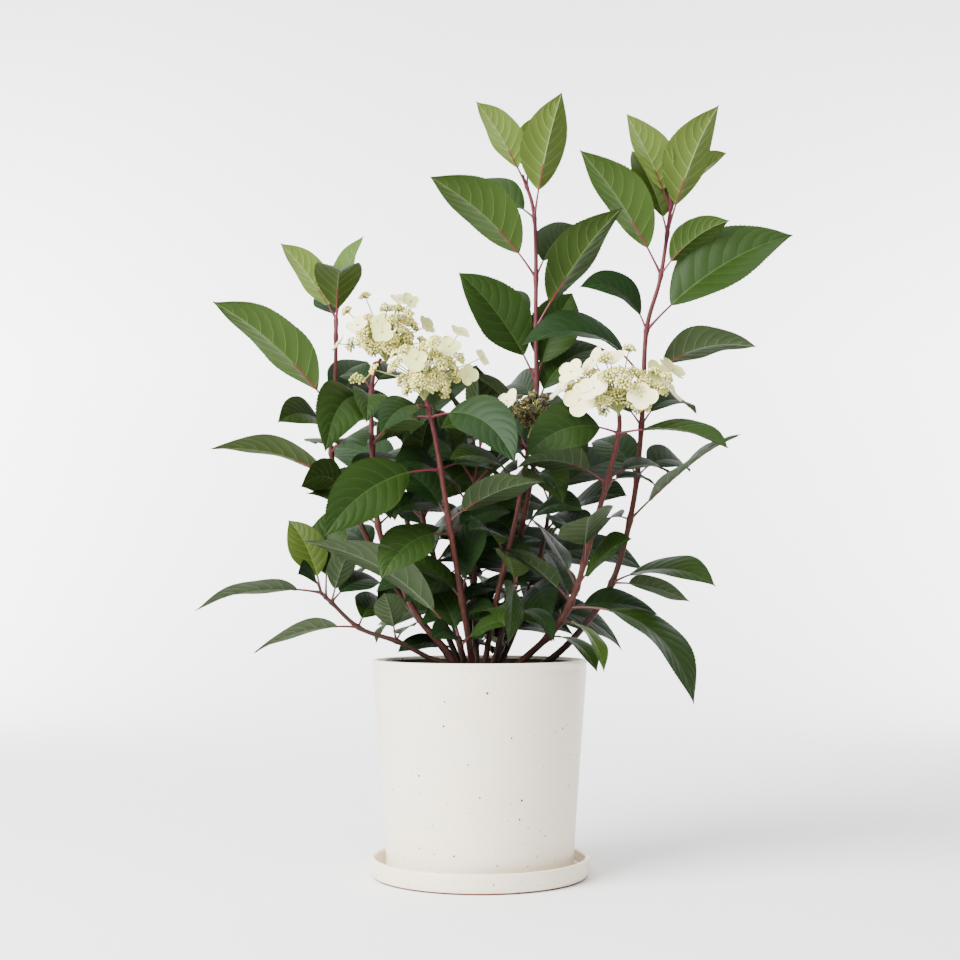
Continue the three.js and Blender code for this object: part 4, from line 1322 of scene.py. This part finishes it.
class HYDRANGEA_OT_leaf_stalks(Piece, bpy.types.Operator):
    """Grows the leaf stalks from their joints to the blades"""

    bl_idname = "hydrangea.leaf_stalks"
    bl_label = "Leaf stalks"

    def execute(self, context):
        look = context.scene.hydrangea_shrub
        made = Gathered()
        for shoot in SHRUB:
            for leaf in shoot["leaves"]:
                t = np.linspace(0, leaf.stalk * 1.04, 12)
                swell = 1 + 0.45 * np.exp(-((t / leaf.stalk / 0.22) ** 2))
                radii = PETIOLE * mix(0.98, 0.72, t / t[-1]) * swell * mix(0.8, 1.1, leaf.blade / 130)
                points, corners, sizes = tube(leaf.centre(t), radii, sides=8)
                made.add(points, corners, sizes, 0 if leaf.height > RED_STALKS_ABOVE else 1)
        names = ("red leaf stalk", "brown leaf stalk")
        finishes = [stalk_skin(n, c) for n, c in zip(names, (look.stalk_red, look.stalk_brown))]
        made.build("leaf_stalks", finishes, "bark", ["leaves_" + shoot["name"] for shoot in SHRUB])
        return {"FINISHED"}


class HYDRANGEA_OT_blossom(Piece, bpy.types.Operator):
    """Opens the flower heads: branches, packed small buds and large florets round them"""

    bl_idname = "hydrangea.blossom"
    bl_label = "Blossom"

    def execute(self, context):
        look = context.scene.hydrangea_blossom
        self.stalks, self.buds, self.petals, self.seeds = (Gathered() for _ in range(4))
        self.grain = ball(1)
        owners = []
        for shoot in SHRUB:
            if shoot.get("head"):
                owners.append("leaves_" + shoot["name"])
                self.clusters(shoot, shoot["head"], look)
                self.florets(shoot["head"], look)
        petals = (("cream petal", look.cream), ("ivory petal", look.ivory), ("lime petal", look.lime))
        stalks = (("head stem", look.stalk_green), ("bud stalk", look.stalk_green))
        buds = (("cream bud", look.bud_cream), ("green bud", look.bud_green))
        seeds = (("seed capsule", look.capsule), ("paler seed capsule with painted highlight", look.pale_capsule_painted_highlight))
        self.petals.build("large_florets", [petal_tissue(*p) for p in petals], "foliage", owners)
        self.stalks.build("flower_stalks", [stalk_skin(*p) for p in stalks], "foliage", owners)
        self.buds.build("flower_buds", [petal_tissue(*p) for p in buds], "foliage", owners)
        self.seeds.build("seed_capsules", [petal_tissue(*p) for p in seeds], "foliage", ["leaves_seed_head"])
        return {"FINISHED"}

    def clusters(self, shoot, head, look):
        """Branches out of the head's stem, each with a dome of small buds or seed capsules."""
        seedy = head.get("seedy", False)
        middle = np.array(head["centre"], float)
        stem = line_point(shoot["cane"], 0.97)[0]
        low = middle - (0, 0, head["high"] * 0.45)
        self.stalks.add(*tube([stem, (stem + low) / 2, low, middle], [2.3, 2.2, 1.9, 1.2]), 0)
        for i, way in enumerate(spread_directions(look.seed_clusters if seedy else look.clusters, -0.42)):
            reach = (0.9 if seedy else lumpy(head, way)) * (0.62 if way[2] < 0 else 1)
            reach *= mix(0.82, 1.12, fraction(i * 5.3 + head["turn"]))
            size = mix(5.5, 9.0, fraction(i * 3.7 + head["turn"])) * (0.7 if seedy else 1)
            facing = unit(way + 0.35 * UP)
            base = on_head(head, way, reach) - facing * size
            fork = mix(middle, base, 0.35) - (0, 0, 4)
            self.stalks.add(*tube([low, fork, base], [1.1, 0.8, 0.6], sides=6), 1)
            # On the old head the second colour is the paler capsules, partly painted highlight.
            grains, second = (self.seeds, 0.35) if seedy else (self.buds, 0.2)
            self.dome(base, facing, size, look, i * 31 + head["turn"], grains, second)
        for i, place in enumerate(head.get("unopened", ())):
            base = middle + np.array(place, float)
            path = [stem, mix(stem, base, 0.6) - (0, 0, 5), base]
            self.stalks.add(*tube(path, [1.0, 0.9, 0.8], sides=6), 1)
            self.dome(base, unit(UP - 0.5 * BACKWARD), 9.5, look, 900 + 31 * i, self.buds, 1)

    def dome(self, base, facing, size, look, salt, gathered, second):
        """Beads on thin stalks round one branch's end; second is the share in the second colour."""
        shape, corners, sizes = self.grain
        side, other = frame_facing(facing)
        for j, tilt in enumerate(spread_directions(look.buds_each, 0.05)):
            key = salt + j
            out = unit(side * tilt[0] + other * tilt[1] + facing * tilt[2])
            at = base + out * size * mix(0.75, 1.1, fraction(key))
            grain = look.bud / MM * mix(0.7, 1.25, fraction(key + 0.4))
            self.stalks.add(*tube([base, at], [0.32, 0.28], sides=3), 1)
            gathered.add(shape * grain + at, corners, sizes, int(fraction(key * 1.3) < second))

    def florets(self, head, look):
        """The large florets, on thin stalks out of the head, and a bead in the middle of each."""
        shape, corners, sizes = self.grain
        middle = np.array(head["centre"], float)
        for i, place in enumerate(head["florets"]):
            away = np.array(place, float)
            at, start = middle + away, middle + away * 0.3
            stray = SPRAY["stray"] * np.array([fraction(i * 2.3 + head["turn"] + k) - 0.5 for k in range(3)])
            facing = unit(unit(away) + SPRAY["upward"] * UP - SPRAY["forward"] * BACKWARD + stray)
            radius = head["floret"] * mix(0.88, 1.12, fraction(i * 7 + head["turn"]))
            self.stalks.add(*tube([start, mix(start, at, 0.6) - (0, 0, 2), at], [0.8, 0.6, 0.6], sides=6), 1)
            add_floret(self.petals, at, facing, radius, i + head["turn"], "CIL".index(head["petals"][i]))
            self.buds.add(shape * 1.5 + at + facing * 0.8, corners, sizes, 1)


class HYDRANGEA_OT_studio(Piece, bpy.types.Operator):
    """Sets the paper sweep, the soft lights and the camera"""

    bl_idname = "hydrangea.studio"
    bl_label = "Studio"

    def execute(self, context):
        look = context.scene.hydrangea_studio
        bend = np.linspace(0, math.pi / 2, 24)
        sweep = [(-4.2, 0.0)] + [(2.6 + 1.2 * math.sin(a), 1.2 - 1.2 * math.cos(a)) for a in bend]
        sweep.append((3.8, 5.5))
        across = np.linspace(-5.5, 5.5, 3)
        points = np.array([[(x, y, z) for x in across] for y, z in sweep])
        corners, sizes = grid_faces(len(sweep), 3, closed=False)
        mesh = bpy.data.meshes.new("paper_sweep")
        mesh.from_pydata(points.reshape(-1, 3).tolist(), [], corners.reshape(-1, 4).tolist())
        mesh.polygons.foreach_set("use_smooth", np.ones(len(sizes), bool))
        mesh.materials.append(seamless_paper(look))
        floor = bpy.data.objects.new("paper_sweep", mesh)
        context.scene.collection.objects.link(floor)
        self.lamp("window", (-2.1, -1.7, 1.9), (0, 0, 0.45), 2.2, look.key_power)
        self.lamp("reflector", (2.3, -1.9, 1.2), (0, 0, 0.4), 2.4, look.fill_power)
        self.lamp("overhead", (0, 0.2, 3.2), (0, 0.1, 0), 2.4, look.overhead_power)
        for side in (-1, 1):
            power = look.backdrop_power * (1 - 0.1 * side)
            self.lamp(f"backdrop light {side}", (2.6 * side, 1.9, 0.9), (1.2 * side, 3.8, 0.9), 1.2, power)
        world = bpy.data.worlds.new("room light")
        world.use_nodes = True
        sky = world.node_tree.nodes["Background"]
        sky.inputs["Color"].default_value = linear("#FBFCFF")
        sky.inputs["Strength"].default_value = look.sky
        context.scene.world = world
        camera = bpy.data.objects.new("camera", bpy.data.cameras.new("camera"))
        camera.data.lens = look.lens
        camera.data.sensor_width = 36
        camera.location = (0, -look.camera_back, look.camera_height)
        camera.rotation_euler = (math.pi / 2 + look.camera_tilt, 0, 0)
        context.scene.collection.objects.link(camera)
        context.scene.camera = camera
        return {"FINISHED"}

    def lamp(self, name, place, target, size, power):
        made = bpy.data.lights.new(name, "AREA")
        made.energy, made.size = power, size
        obj = bpy.data.objects.new(name, made)
        obj.location = place
        obj.rotation_euler = (obj.location - Vector(target)).to_track_quat("Z", "Y").to_euler()
        bpy.context.scene.collection.objects.link(obj)


class HYDRANGEA_PT_sidebar(bpy.types.Panel):
    """The shrub's settings and the steps that make it"""

    bl_idname = "HYDRANGEA_PT_sidebar"
    bl_label = "Potted Hydrangea"
    bl_space_type = "VIEW_3D"
    bl_region_type = "UI"
    bl_category = "Hydrangea"

    def draw(self, context):
        for name, group in GROUPS.items():
            box = self.layout.box()
            box.label(text=name.capitalize())
            settings = getattr(context.scene, "hydrangea_" + name)
            for key in group.__annotations__:
                box.prop(settings, key)
        for operator in OPERATORS:
            self.layout.operator(operator.bl_idname)


GROUPS = {
    "pottery": PotterySettings,
    "shrub": ShrubSettings,
    "blossom": BlossomSettings,
    "studio": StudioSettings,
}
OPERATORS = (
    HYDRANGEA_OT_planter, HYDRANGEA_OT_saucer, HYDRANGEA_OT_soil, HYDRANGEA_OT_woody_foot,
    HYDRANGEA_OT_canes, HYDRANGEA_OT_leaves, HYDRANGEA_OT_leaf_stalks, HYDRANGEA_OT_blossom,
    HYDRANGEA_OT_studio,
)


def register():
    for made in (*GROUPS.values(), *OPERATORS, HYDRANGEA_PT_sidebar):
        bpy.utils.register_class(made)
    for name, group in GROUPS.items():
        setattr(bpy.types.Scene, "hydrangea_" + name, bpy.props.PointerProperty(type=group))


def unregister():
    for name in GROUPS:
        delattr(bpy.types.Scene, "hydrangea_" + name)
    for made in (HYDRANGEA_PT_sidebar, *reversed(OPERATORS), *reversed(GROUPS.values())):
        bpy.utils.unregister_class(made)


def main():
    register()
    SHRUB.extend(grow())
    for operator in OPERATORS:
        group, name = operator.bl_idname.split(".")
        getattr(getattr(bpy.ops, group), name)()


if __name__ == "__main__":
    main()
